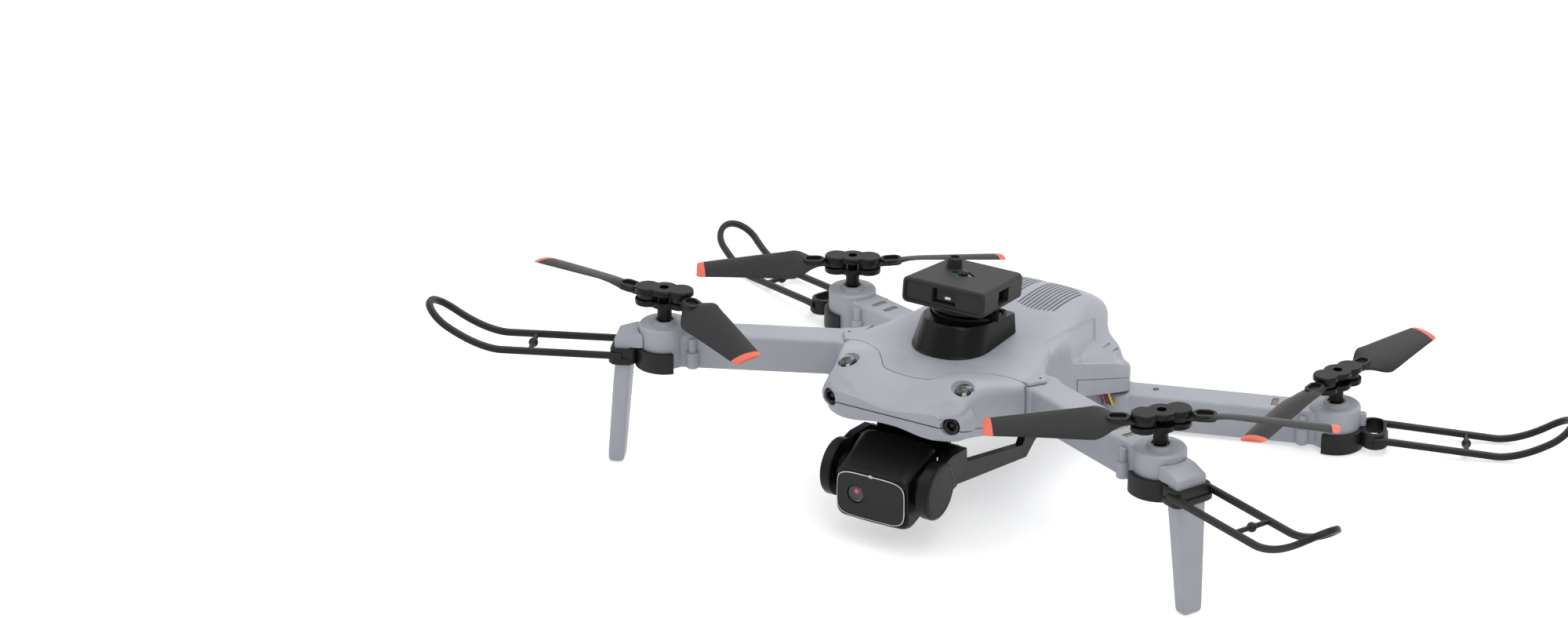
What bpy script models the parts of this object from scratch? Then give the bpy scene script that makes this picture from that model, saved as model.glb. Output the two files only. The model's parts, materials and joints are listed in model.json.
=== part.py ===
"""Folding quadcopter drone, standing on its two front legs and its two rear guard clips.

Metres, +Z up, ground at Z = 0, nose towards -Y, the drone's left side at +X.
The wedge-shaped body carries two high front arms and two low rear arms on vertical pins. Each arm
ends in a motor housing with a clip-on guard, and carries a two-bladed folding propeller.
"""

import math

import bmesh
import bpy
from mathutils import Matrix, Vector

for old in list(bpy.data.objects):
    bpy.data.objects.remove(old, do_unlink=True)

# General fits
GAP = 0.0003            # between pieces that touch
RUN = 0.0005            # running clearance of turning and sliding pieces
SEAM = 0.0003           # visible seam between shell pieces

# Layout of motors and arm hinges
FRONT_MOTOR_X = 0.0950
FRONT_MOTOR_Y = -0.0665
REAR_MOTOR_X = 0.0980
REAR_MOTOR_Y = 0.0665
FRONT_TOP_Z = 0.0527    # top of the front motor housings
PIVOT_OUT = 0.0010      # front hinge pins outside the body's shoulder
PIVOT_IN = 0.0040       # rear hinge pins inside the body's hip
FRONT_PIVOT_Y = -0.0400
REAR_PIVOT_Y = 0.0430
FRONT_FOLD = 35.0       # degrees that a front arm folds back
REAR_FOLD = 25.0        # degrees that a rear arm folds forwards

# Arm
ARM_WIDTH = 0.0121
ARM_HEIGHT = 0.0123
ARM_EDGE = 0.0011       # chamfer along the top
ARM_ROOF = 0.0018
EYE_R = 0.0070
EAR_R = 0.0032          # round tip of the shell's ear over a front arm's eye
EAR_T = 0.0017
EAR_HALF = 0.0098       # half length of the ear where it leaves the shell
EAR_EDGE = 0.0008
PIN_R = 0.0014
PIN_OVER = 0.0008       # front pins reach this far into the ears
PIN_UNDER = 0.0025      # front pins reach this far into the pads
PIN_SHORT = 0.0006      # rear pins end above the arm's underside
PIN_UP = 0.0040         # rear pins reach this far into the hip
PAD_T = 0.0032          # pads under the front arm eyes
ROOT_IN = 0.0060        # pads start this far inside the belly's side
PAD_SPREAD = 0.0040     # pads are wider at the root
COVER_T = 0.0015
HOUSING_R = 0.0088
HOUSING_RISE = 0.0017   # housing top above the arm's top
HOUSING_EDGE = 0.0008
COLLAR_R = 0.00415
COLLAR_H = 0.0008
MOTOR_R = 0.00425
MOTOR_ROOF = 0.0017
SHAFT_R = 0.0009
BOSS_R = 0.0021
BOSS_ROD_R = 0.0013
BOSS_H = 0.0062
BOSS_BACK = 0.0105      # boss distance from the motor axis along the arm
LIGHT_SLOT_L = 0.0062
LIGHT_SLOT_W = 0.0024
LIGHT_SLOT_AT = (0.0150, 0.0212)   # slot distances from the motor axis

# Propeller
STEM_R = 0.0025
NECK_R = 0.0018
STEM_HOLE_R = 0.00305
HUB_LIFT = 0.00646      # underside of the hub plate above the housing top
HUB_PLATE = 0.0020
HUB_SLOT = 0.0026
HUB_CAP = 0.0019
HUB_END_R = 0.0042
HUB_END_AT = 0.0056
HUB_MID_R = 0.0047
HUB_HOLE_R = 0.00165
BLADE_PIN_R = 0.0012
BLADE_PIN_AT = 0.0058   # blade pin from the motor axis
BLADE_TIP_R = 0.0578    # tip radius from the motor axis
BLADE_CHORD = 0.0150
BLADE_TIP_CHORD = 0.0098
BLADE_ROOT_CHORD = 0.0056
BLADE_CAMBER = 0.06     # share of the chord
BLADE_TWIST = 22.0
BLADE_TIP_TWIST = 10.0
BLADE_MID_T = 0.0012
BLADE_TIP_T = 0.0008
BLADE_LEAN = 0.0016     # blade's mid line behind its pin
BLADE_DROOP = 0.0025    # tip below the root
BLADE_EYE_R = 0.0036
BLADE_LOOP_L = 0.0064
BLADE_LOOP_W = 0.0046
BLADE_LOOP_H = 0.0007
BLADE_LOOP_WALL = 0.0009

# Guard and leg
GUARD_SWEEP = 24.0      # degrees between a guard and the X axis
CLIP_DROP = 0.0155      # clip's lower edge below the housing top
CLIP_H = 0.0075
CLIP_T = 0.0014
CLIP_HALF_ANGLE = 115.0
CUP_WALL = 0.0012
CUP_IN = 0.0109         # cup's inner wall from the motor axis
CUP_OUT = 0.0182        # cup's outer face from the motor axis
CUP_H = 0.0055
RAIL_R = 0.00115
RAIL_GAUGE = 0.0148
RAIL_RISE_FROM = 0.0560
RAIL_TIP = 0.0820
RAIL_TIP_RISE = 0.0134
RAIL_DROP = 0.0104      # rails below the housing top
REAR_RAIL_SLOPE = 0.09  # the rear guards fall away outwards
CROSSBAR_AT = 0.0460
CROSSBAR_R = 0.0009
CROSSBAR_BALL_R = 0.0017
LEG_FOOT_AT = 0.0172    # centre of the foot from the motor axis
LEG_FOOT_T = 0.0053
LEG_FOOT_W = 0.0075
LEG_BLOCK_TOP = 0.0103  # leg block above the housing's underside

# Body
NOSE_Y = -0.0784
MID_Y = 0.0             # bend of the seam and of the belly
TAIL_Y = 0.0456
STEP_AHEAD = 0.0030     # first bend of the seam ahead of the front arm eyes
SHOULDER_HALF = 0.0362
WAIST_HALF = 0.0305
TAIL_HALF = 0.0302
DECK_TAIL_HALF = 0.0200
NOSE_HALF = 0.0240
BODY_TOP = 0.0540
LOBE_TOP = 0.0566
BROW_TOP = 0.0478
TAIL_TOP = 0.0450
TAIL_ROUND = 0.0056     # corner radius of the tail in plan
VALLEY = 0.0036         # dip between the headlamp lobes
NOSE_PART_Z = 0.0453    # seam of the chin at the nose
MID_PART_Z = 0.0280     # edge of the upper shell at mid length
TAIL_PART_Z = 0.0125    # edge of the upper shell at the tail
LEDGE_MID_Z = 0.0406    # edge of the rear ledge at mid length
LEDGE_TAIL_Z = 0.0234   # edge of the rear ledge at the tail
LEDGE_EDGE = 0.0008
LEDGE_RISE = 1.2        # slope from the ledge up to the deck
SQUARENESS = 4.0        # power of the deck's rounded section
SHELL_WALL = 0.0020
CHIN_Z = 0.0402
BELLY_FRONT_Z = 0.0340  # underside at the front arm hinges
BELLY_MID_Z = 0.0172
BELLY_TAIL_Z = 0.0040
BELLY_HALF = 0.0215

# Nose furniture
LAMP_X = 0.0223
LAMP_BACK = 0.0120      # headlamps behind the nose
LAMP_Z = 0.0540
LAMP_R = 0.0031
LAMP_RIM_R = 0.0047
LAMP_DEEP = 0.0042
LAMP_TILT = 20.0
EYE_LENS_X = 0.0229
EYE_LENS_BACK = 0.0032  # eye sensors behind the nose
EYE_LENS_R = 0.0031
EYE_RIM = 0.0012        # moulded rim round each eye sensor
EYE_DEEP = 0.0045
EYE_LENS_TURN = 16.0

# Sensor head
PEDESTAL_HALF = 0.0140
PEDESTAL_FRONT_Y = -0.0337
PEDESTAL_BACK_Y = -0.0140
PEDESTAL_TOP_Z = 0.0624 # on the head's axis; the top leans with the head
PEDESTAL_DRAFT = 0.0022
PEDESTAL_FOOT = 0.0010  # rim round the pedestal's foot
HEAD_AXIS_Y = -0.0255
HEAD_TILT = 6.5
HEAD_BASE_Z = 0.0610
TURNTABLE_R = 0.0116
TURNTABLE_H = 0.0052
TURNTABLE_SEAT = 0.0020
HEAD_W = 0.0316
HEAD_BACK_W = 0.0288
HEAD_D = 0.0300
HEAD_H = 0.0090
HEAD_FORWARD = 0.0022
HEAD_ROUND = 0.0018     # long edges of the head case
HEAD_EDGE = 0.0005
HEAD_RIM = 0.0011       # raised rim round the head's front panel
HEAD_PANEL = 0.0007     # front panel behind the rim
WINDOW_W = 0.0090
WINDOW_H = 0.0050
SIDE_WINDOW_W = 0.0080
WINDOW_DEEP = 0.0040
HEAD_POST_R = 0.0104
HEAD_POST_H = 0.0012
TUBE_R = 0.0027
TUBE_H = 0.0036
TUBE_AT = (-0.0071, 0.0030)
GEM_AT = (-0.0007, -0.0021)
GEM_HALF = (0.0046, 0.0036)
GEM_DEEP = 0.0012
GEM_DOME_R = 0.0015

# Camera
CAM_AXIS_Y = -0.0780
CAM_AXIS_Z = 0.0218
CAM_FACE_Y = -0.0885
CAM_HALF = 0.0138
CAM_FACE_H = 0.0178
CAM_FACE_Z = 0.0187     # middle of the camera face
CAM_BACK_Y = -0.0665
CAM_BACK_TOP_Z = 0.0338
DISC_R = 0.0098
DISC_T = 0.0040
DISC_OUT = 0.0206
DISC_EDGE = 0.0008
TRUNNION_R = 0.0062
TRUNNION_PIN_R = 0.0030
TRUNNION_PIN_L = 0.0020
BLOCK_IN = 0.0022       # yoke block reaches in past the disc
PLATE_T = 0.0028
BEAM_T = 0.0022
STRUT_T = 0.0028
TRIM_T = 0.0007
CAM_LENS_R = 0.0030

# Battery, deck slits and small controls
BATTERY_HALF = 0.0145
BATTERY_FLOOR_Z = 0.0210
BATTERY_TOP_Z = 0.0380
BATTERY_FRONT_Y = -0.0020
LATCH_W = 0.0120
LATCH_H = 0.0045
LATCH_OUT = 0.0015
GRILLE_Y = 0.0185
GRILLE_HALF = 0.0145
GRILLE_X = 0.0034       # first slit from the middle
GRILLE_PITCH = 0.0018
GRILLE_SLIT = 0.0008
GRILLE_DEEP = 0.0012
GRILLE_COUNT = 8
BUTTON_R = 0.0032
BUTTON_OUT = 0.0012
BOARD_L = 0.0300
BOARD_T = 0.0016

GREY = ((168, 172, 180), 0.55, 0.0)
BLACK = ((38, 38, 40), 0.45, 0.0)
DARK = ((62, 60, 62), 0.50, 0.0)
STEEL = ((180, 180, 182), 0.30, 1.0)
CHROME = ((225, 225, 228), 0.08, 1.0)
CLEAR = ((235, 238, 240), 0.05, 0.0)
GLASS = ((16, 16, 18), 0.08, 0.0)
GREEN = ((28, 74, 52), 0.60, 0.0)
TEAL = ((30, 92, 96), 0.15, 0.0)

UP = Vector((0, 0, 1))


def linear(value):
    value /= 255.0
    return value / 12.92 if value <= 0.04045 else ((value + 0.055) / 1.055) ** 2.4


def finish(name, bm, look=None, parent=None, angle=35.0):
    """Make an object of a bmesh, with its own material, shaded smooth up to an angle."""
    bmesh.ops.recalc_face_normals(bm, faces=bm.faces)
    mesh = bpy.data.meshes.new(name)
    bm.to_mesh(mesh)
    bm.free()
    mesh.shade_smooth()
    mesh.set_sharp_from_angle(angle=math.radians(angle))
    ob = bpy.data.objects.new(name, mesh)
    bpy.context.scene.collection.objects.link(ob)
    ob.parent = parent
    if look:
        rgb, rough, metal = look
        mat = bpy.data.materials.new(name)
        mat.use_nodes = True
        shader = mat.node_tree.nodes["Principled BSDF"]
        shader.inputs["Base Color"].default_value = (*(linear(v) for v in rgb), 1.0)
        shader.inputs["Roughness"].default_value = rough
        shader.inputs["Metallic"].default_value = metal
        mesh.materials.append(mat)
    return ob


def tool(bm, parent=None, name="tool"):
    """A cutter or filler that is no piece of the object."""
    ob = finish(name, bm, parent=parent)
    ob.hide_render = True
    ob.display_type = "WIRE"
    return ob


def combine(ob, other, operation):
    mod = ob.modifiers.new(operation.title(), "BOOLEAN")
    mod.operation = operation
    mod.solver = "EXACT"
    mod.object = other


def cut(ob, *others):
    for other in others:
        combine(ob, other, "DIFFERENCE")


def join(ob, *others):
    for other in others:
        combine(ob, other, "UNION")


def keep(ob, other):
    combine(ob, other, "INTERSECT")


def empty(name, location, turn=None, parent=None):
    ob = bpy.data.objects.new(name, None)
    bpy.context.scene.collection.objects.link(ob)
    ob.parent = parent
    ob.matrix_local = Matrix.Translation(location) @ (turn or Matrix()).to_4x4()
    return ob


def loft(rings, closed=False):
    """Skin through rings of equal length. Open skins get flat ends."""
    bm = bmesh.new()
    rows = [[bm.verts.new(p) for p in ring] for ring in rings]
    count = len(rows[0])
    pairs = list(zip(rows, rows[1:])) + ([(rows[-1], rows[0])] if closed else [])
    for a, b in pairs:
        for i in range(count):
            j = (i + 1) % count
            bm.faces.new((a[i], a[j], b[j], b[i]))
    if not closed:
        bm.faces.new(rows[0][::-1])
        bm.faces.new(rows[-1])
    return bm


def prism(outline, z0, z1):
    return loft([[(x, y, z) for x, y in outline] for z in (z0, z1)])


def box(x0, x1, y0, y1, z0, z1):
    return prism([(x0, y0), (x1, y0), (x1, y1), (x0, y1)], z0, z1)


def turned(profile, sides):
    """Solid turned about Z from (radius, height) points, the first and last on the axis."""
    rings = [[(r * math.cos(2 * math.pi * k / sides), r * math.sin(2 * math.pi * k / sides), z)
              for k in range(sides)] for r, z in profile[1:-1]]
    return loft(rings)


def drum(r, z0, z1, sides=24, edge=0.0):
    if edge:
        return turned([(0, z0), (r, z0), (r, z1 - edge), (r - edge, z1), (0, z1)], sides)
    return turned([(0, z0), (r, z0), (r, z1), (0, z1)], sides)


def moved(bm, offset=(0, 0, 0), turn=None):
    matrix = Matrix.Translation(offset) @ (turn or Matrix.Identity(3)).to_4x4()
    bmesh.ops.transform(bm, matrix=matrix, verts=bm.verts)
    return bm


def merged(*parts):
    """One bmesh holding several separate solids."""
    bm = bmesh.new()
    for part in parts:
        mesh = bpy.data.meshes.new("part")
        part.to_mesh(mesh)
        part.free()
        bm.from_mesh(mesh)
        bpy.data.meshes.remove(mesh)
    return bm


def arc(cx, cy, r, a0, a1, n):
    return [(cx + r * math.cos(math.radians(a0 + (a1 - a0) * k / n)),
             cy + r * math.sin(math.radians(a0 + (a1 - a0) * k / n))) for k in range(n + 1)]


def rounded(x0, x1, y0, y1, r, n=3):
    """Rectangle outline with round corners, anticlockwise."""
    return (arc(x1 - r, y0 + r, r, -90, 0, n) + arc(x1 - r, y1 - r, r, 0, 90, n)
            + arc(x0 + r, y1 - r, r, 90, 180, n) + arc(x0 + r, y0 + r, r, 180, 270, n))


def sweep(path, radius, sides=6):
    """Round bar along a closed or open list of points."""
    path = [Vector(p) for p in path]
    rings = []
    side = None
    for i, p in enumerate(path):
        ahead = path[min(i + 1, len(path) - 1)] - path[max(i - 1, 0)]
        ahead.normalize()
        side = (side if side else UP) - ahead * (side if side else UP).dot(ahead)
        side.normalize()
        other = ahead.cross(side)
        rings.append([p + radius * (math.cos(2 * math.pi * k / sides) * side
                                    + math.sin(2 * math.pi * k / sides) * other)
                      for k in range(sides)])
    return loft(rings)


def axis_turn(direction):
    """Rotation that carries +Z to a direction."""
    return UP.rotation_difference(Vector(direction)).to_matrix()


def blend(a, b, t):
    t = max(0.0, min(1.0, t))
    return a + (b - a) * t * t * (3 - 2 * t)


# Heights that follow from the sizes above
HOUSING_H = ARM_HEIGHT + HOUSING_RISE
FRONT_ARM_Z = FRONT_TOP_Z - HOUSING_H
REAR_ARM_Z = CLIP_DROP - HOUSING_H
CLIP_LOW = HOUSING_H - CLIP_DROP
CHANNEL_HALF = MOTOR_R + GAP
BODY_LEN = TAIL_Y - NOSE_Y
FRONT_PIVOT_X = SHOULDER_HALF + PIVOT_OUT
REAR_PIVOT_X = WAIST_HALF - PIVOT_IN
LAMP_Y = NOSE_Y + LAMP_BACK
EYE_LENS_Y = NOSE_Y + EYE_LENS_BACK
STEP_Y = FRONT_PIVOT_Y - EYE_R - STEP_AHEAD

# Sections of the body, as shares of its length from nose to tail
DECK_STEPS = 8
HULL_AT = (0.0, 0.006, 0.018, 0.035, 0.06, 0.085, 0.11, 0.14, 0.17, 0.205, 0.25, 0.31, 0.37, 0.43,
           0.50, 0.56, 0.61, 0.65, 0.70, 0.77, 0.84, 0.90, 0.94, 0.965, 0.98, 0.99, 1.0)
CAVITY_AT = (0.06, 0.13, 0.24, 0.40, 0.68, 0.86, 0.95)


# Body shape
def share(y):
    return (y - NOSE_Y) / BODY_LEN


def part_z(y):
    """Lower edge of the upper shell, falling from the nose to the tail in three straight runs."""
    low = FRONT_ARM_Z - 2 * GAP
    if y < STEP_Y:
        return NOSE_PART_Z + (low - NOSE_PART_Z) * (y - NOSE_Y) / (STEP_Y - NOSE_Y)
    if y < MID_Y:
        return low + (MID_PART_Z - low) * (y - STEP_Y) / (MID_Y - STEP_Y)
    return MID_PART_Z + (TAIL_PART_Z - MID_PART_Z) * (y - MID_Y) / (TAIL_Y - MID_Y)


def tail_corner(f):
    """How far the plan's tail corners draw in."""
    d = min((1.0 - f) * BODY_LEN, TAIL_ROUND)
    return TAIL_ROUND - math.sqrt(max(0.0, TAIL_ROUND ** 2 - (TAIL_ROUND - d) ** 2))


def half_width(f):
    if f < 0.05:
        return blend(NOSE_HALF * 0.78, NOSE_HALF * 1.10, math.sqrt(f / 0.05))
    if f < 0.30:
        return blend(NOSE_HALF * 1.10, SHOULDER_HALF, (f - 0.05) / 0.25)
    if f < 0.47:
        return blend(SHOULDER_HALF, WAIST_HALF, (f - 0.30) / 0.17)
    return blend(WAIST_HALF, TAIL_HALF, (f - 0.85) / 0.15) - tail_corner(f)


def deck_half(f):
    """Half width above the rear ledge."""
    if f < 0.60:
        return half_width(f)
    return WAIST_HALF + (DECK_TAIL_HALF - WAIST_HALF) * (f - 0.60) / 0.40 - tail_corner(f)


def crown(f):
    if f < 0.12:
        return blend(BROW_TOP, LOBE_TOP, (f / 0.12) ** 0.75)
    if f < 0.27:
        return blend(LOBE_TOP, BODY_TOP, (f - 0.12) / 0.15)
    if f < 0.70:
        return BODY_TOP
    return BODY_TOP - (BODY_TOP - TAIL_TOP) * ((f - 0.70) / 0.30) ** 3.5


def ledge_z(f, y):
    """Crisp edge of the ledge along each hip, level with the front arms ahead of it."""
    front = FRONT_ARM_Z + 0.72 * ARM_HEIGHT
    rear = LEDGE_MID_Z + (LEDGE_TAIL_Z - LEDGE_MID_Z) * y / TAIL_Y
    return blend(front, rear, (f - 0.42) / 0.20)


def hull_ring(f):
    """Section of the body: wall, ledge with its slope, and the rounded deck."""
    y = NOSE_Y + f * BODY_LEN
    w, u = half_width(f), deck_half(f)
    shelf = ledge_z(f, y)
    step = max(w - u, 0.0)
    edge = min(LEDGE_EDGE, 0.3 * step)
    rise = LEDGE_EDGE + LEDGE_RISE * step
    foot = shelf + rise
    top = crown(f)
    n = SQUARENESS
    dip = VALLEY * blend(0.12, 1.0, f / 0.09) * blend(1.0, 0.0, (f - 0.12) / 0.12)
    half = [(w, part_z(y)), (w, shelf - LEDGE_EDGE), (w - edge, shelf + 0.5 * edge),
            (w - 0.45 * step, shelf + 0.52 * rise), (u + 0.16 * step, shelf + 0.78 * rise)]
    for k in range(DECK_STEPS + 1):
        t = math.pi / 2 * k / DECK_STEPS
        x = u * math.cos(t) ** (2 / n) if k < DECK_STEPS else 0.0
        z = foot + (top - foot) * math.sin(t) ** (2 / n)
        half.append((x, z - dip * math.exp(-(x / (0.55 * NOSE_HALF)) ** 2)))
    return [(x, y, z) for x, z in half] + [(-x, y, z) for x, z in half[-2::-1]]


def hull():
    return loft([hull_ring(f) for f in HULL_AT])


def cavity_ring(f):
    """Room inside the shells, with a sloping roof."""
    y = NOSE_Y + f * BODY_LEN
    top = crown(f) - SHELL_WALL
    w = min(BELLY_HALF, half_width(f), deck_half(f)) - SHELL_WALL
    dip = VALLEY if f < 0.2 else 0.0
    half = [(w, part_z(y) - 0.02), (w, top - 0.007), (0.75 * w, top - 0.0035 - 0.5 * dip),
            (0.3 * w, top - 0.0015 - dip)]
    return [(x, y, z) for x, z in half] + [(-x, y, z) for x, z in half[::-1]]


def cavity():
    return loft([cavity_ring(f) for f in CAVITY_AT])


def nose_outline(grow):
    """Plan of the nose cover: two lobes round the headlamps and a straight middle."""
    r = 2.2 * LAMP_RIM_R + grow
    mid = LAMP_Y + 0.0008 + grow
    wide = SHOULDER_HALF + 0.02
    centre = LAMP_Y + 0.0035
    right = [(wide, NOSE_Y - 0.02), (wide, centre + 0.3 * r)]
    right += arc(LAMP_X + 0.002, centre, r, 18, 150, 8)
    right += [(LAMP_X - 2.2 * LAMP_RIM_R - grow, mid)]
    return right + [(-x, y) for x, y in right[::-1]]


airframe = empty("airframe", (0, 0, 0))


def fan(pivot, start, fold, half, reach, z0, z1):
    """Space that a folding arm sweeps, for the +X side."""
    end = start + fold
    out = arc(0, 0, half, start - 90, start - 90, 1)[:1]
    out += [(half * math.cos(math.radians(start - 90)) + reach * math.cos(math.radians(start)),
             half * math.sin(math.radians(start - 90)) + reach * math.sin(math.radians(start)))]
    out += arc(0, 0, reach * 1.1, start + 12, end - 12, 4)
    out += [(half * math.cos(math.radians(end + 90)) + reach * math.cos(math.radians(end)),
             half * math.sin(math.radians(end + 90)) + reach * math.sin(math.radians(end)))]
    out += arc(0, 0, half, end + 90, start + 270, 10)[:-1]
    return moved(prism(out, z0, z1), (pivot[0], pivot[1], 0))


def mirrored(bm):
    bmesh.ops.transform(bm, matrix=Matrix.Diagonal((-1, 1, 1, 1)), verts=bm.verts)
    bmesh.ops.reverse_faces(bm, faces=bm.faces)
    return bm


FRONT_ANGLE = math.degrees(math.atan2(FRONT_MOTOR_Y - FRONT_PIVOT_Y, FRONT_MOTOR_X - FRONT_PIVOT_X))
REAR_ANGLE = math.degrees(math.atan2(REAR_MOTOR_Y - REAR_PIVOT_Y, REAR_MOTOR_X - REAR_PIVOT_X))
FRONT_LEN = math.hypot(FRONT_MOTOR_Y - FRONT_PIVOT_Y, FRONT_MOTOR_X - FRONT_PIVOT_X)
REAR_LEN = math.hypot(REAR_MOTOR_Y - REAR_PIVOT_Y, REAR_MOTOR_X - REAR_PIVOT_X)

# Shared body tools
above = [(y, part_z(y)) for y in (NOSE_Y - 0.2 * BODY_LEN, STEP_Y, MID_Y, TAIL_Y + 0.2 * BODY_LEN)]


def slab(lift, top):
    """Everything above the parting surface, raised by a lift."""
    line = [(y, z + lift) for y, z in above]
    outline = line + [(line[-1][0], top), (line[0][0], top)]
    half = SHOULDER_HALF + 0.03
    return loft([[(x, y, z) for y, z in outline] for x in (-half, half)])


def slots(pivot, start, fold, z0, z1):
    args = (pivot, start, fold, EYE_R + RUN, 0.05, z0, z1)
    return merged(fan(*args), mirrored(fan(*args)))


def pin_places():
    for side in (1, -1):
        yield side, FRONT_PIVOT_X * side, FRONT_PIVOT_Y, FRONT_ARM_Z
        yield side, REAR_PIVOT_X * side, REAR_PIVOT_Y, REAR_ARM_Z


def pin_bores():
    """Holes in the shells for the four hinge pins."""
    parts = []
    for side, x, y, z in pin_places():
        top = z + ARM_HEIGHT + (PIN_OVER if y < 0 else PIN_UP) + GAP
        parts.append(moved(drum(PIN_R + GAP, 0.0, top, 12), (x, y, 0)))
    return merged(*parts)


lamp_turn = axis_turn((0, -math.sin(math.radians(LAMP_TILT)), math.cos(math.radians(LAMP_TILT))))


def eye_turn(side):
    a = math.radians(EYE_LENS_TURN)
    return axis_turn((side * math.sin(a), -math.cos(a), 0))


def at_lamps(make):
    return merged(*[moved(make(), (LAMP_X * side, LAMP_Y, LAMP_Z), lamp_turn) for side in (1, -1)])


def at_eyes(make):
    return merged(*[moved(make(), (EYE_LENS_X * side, EYE_LENS_Y, NOSE_PART_Z), eye_turn(side))
                    for side in (1, -1)])


hull_above = tool(slab(-0.5 * SEAM, BODY_TOP + 0.03), airframe, "above_seam")
nose_keep = tool(prism(nose_outline(0.0), 0.0, 0.1), airframe, "nose_region")
nose_clear = tool(prism(nose_outline(SEAM), 0.0, 0.1), airframe, "nose_clear")
inside = tool(cavity(), airframe, "shell_cavity")
arm_slots = tool(slots((FRONT_PIVOT_X, FRONT_PIVOT_Y), FRONT_ANGLE, FRONT_FOLD, FRONT_ARM_Z - GAP,
                       FRONT_ARM_Z + ARM_HEIGHT + GAP), airframe, "arm_slots")
rear_slots = tool(slots((REAR_PIVOT_X, REAR_PIVOT_Y), REAR_ANGLE - REAR_FOLD, REAR_FOLD, 0.0,
                        REAR_ARM_Z + ARM_HEIGHT + GAP), airframe, "rear_arm_slots")
pin_holes = tool(pin_bores(), airframe, "pin_holes")
bay = tool(box(-BATTERY_HALF - RUN, BATTERY_HALF + RUN, BATTERY_FRONT_Y - RUN, TAIL_Y + 0.02,
               BATTERY_FLOOR_Z - RUN, BATTERY_TOP_Z + RUN), airframe, "battery_bay")
lamp_seats = tool(at_lamps(lambda: turned(
    [(0, -LAMP_DEEP), (LAMP_R + GAP, -LAMP_DEEP), (LAMP_R + GAP, -0.0007), (LAMP_R + 0.0006, -0.0006),
     (LAMP_RIM_R - 0.0004, 0.0006), (LAMP_RIM_R, 0.0012), (LAMP_RIM_R + 0.0024, 0.0060), (0, 0.0060)], 20)),
    airframe, "lamp_seats")
eye_seats = tool(at_eyes(lambda: drum(EYE_LENS_R + GAP, -EYE_DEEP, 0.02, 20)), airframe, "eye_seats")


def eye_boss():
    return drum(EYE_LENS_R + EYE_RIM, -EYE_DEEP - EYE_RIM, 0.0004, 20, 0.5 * EYE_RIM)


eye_bosses = tool(at_eyes(eye_boss), airframe, "eye_bosses")


def grille():
    """Two leaf-shaped groups of slits along the rear deck."""
    parts = []
    for side in (1, -1):
        for k in range(GRILLE_COUNT):
            x = side * (GRILLE_X + GRILLE_PITCH * k)
            offset = (k - (GRILLE_COUNT - 1) / 2) / (GRILLE_COUNT / 2)
            half = GRILLE_HALF * math.sqrt(max(0.05, 1 - offset * offset))
            mid = GRILLE_Y - 0.5 * GRILLE_PITCH * offset
            f = share(mid)
            fall = -(crown(f + 0.03) - crown(f - 0.03)) / (0.06 * BODY_LEN)
            z = crown(f) - 0.5 * GRILLE_DEEP - 0.1 * DECK_TAIL_HALF * (abs(x) / DECK_TAIL_HALF) ** 4
            slit = box(-GRILLE_SLIT / 2, GRILLE_SLIT / 2, -half, half, -0.5 * GRILLE_DEEP, 0.004)
            parts.append(moved(slit, (x, mid, z), Matrix.Rotation(-math.atan(fall), 3, "X")))
    return merged(*parts)


def ear():
    """Pointed ear of the shell over the eye of the left front arm."""
    root = SHOULDER_HALF - EAR_R
    base = FRONT_ARM_Z + ARM_HEIGHT - GAP
    rings = []
    for z, i in ((base, 0.0), (base + EAR_T - EAR_EDGE, 0.0), (base + EAR_T, EAR_EDGE)):
        out = arc(FRONT_PIVOT_X, FRONT_PIVOT_Y, EAR_R - i, -62, 62, 8)
        out += [(root, FRONT_PIVOT_Y + EAR_HALF - i), (root, FRONT_PIVOT_Y - EAR_HALF + i)]
        rings.append([(x, y, z) for x, y in out])
    return loft(rings)


# Upper shell
top_shell = finish("top_shell", hull(), GREY, airframe, 40)
join(top_shell, tool(merged(ear(), mirrored(ear())), airframe, "ears"))
cut(top_shell, nose_clear, inside, arm_slots, rear_slots, pin_holes, bay)
cut(top_shell, tool(grille(), airframe, "grille"))

# Nose cover
nose_cover = finish("nose_cover", hull(), GREY, airframe, 40)
keep(nose_cover, nose_keep)
join(nose_cover, eye_bosses)
keep(nose_cover, hull_above)
cut(nose_cover, inside, arm_slots, lamp_seats, eye_seats)


# Lower shell: chin, wedge belly and the pads under the front arms
def belly_z(y):
    """Underside: nearly level under the chin, then two straight runs down to the tail."""
    if y < FRONT_PIVOT_Y:
        return CHIN_Z + (BELLY_FRONT_Z - CHIN_Z) * (y - NOSE_Y) / (FRONT_PIVOT_Y - NOSE_Y)
    if y < MID_Y:
        return BELLY_FRONT_Z + (BELLY_MID_Z - BELLY_FRONT_Z) * (y - FRONT_PIVOT_Y) / (MID_Y - FRONT_PIVOT_Y)
    return BELLY_MID_Z + (BELLY_TAIL_Z - BELLY_MID_Z) * (y - MID_Y) / (TAIL_Y - MID_Y)


def belly_ring(f, inset=0.0, lift=0.0):
    y = NOSE_Y + f * BODY_LEN
    w = blend(half_width(f) - 0.0006, BELLY_HALF, (f - 0.16) / 0.14) - inset
    top = part_z(y) - SEAM + lift
    low = belly_z(y) + inset
    r = min(0.004, 0.35 * w, 0.45 * (top - low))
    half = [(w, top), (w, low + r), (w - 0.3 * r, low + 0.3 * r), (w - r, low)]
    return [(x, y, z) for x, z in half] + [(-x, y, z) for x, z in half[::-1]]


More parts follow.
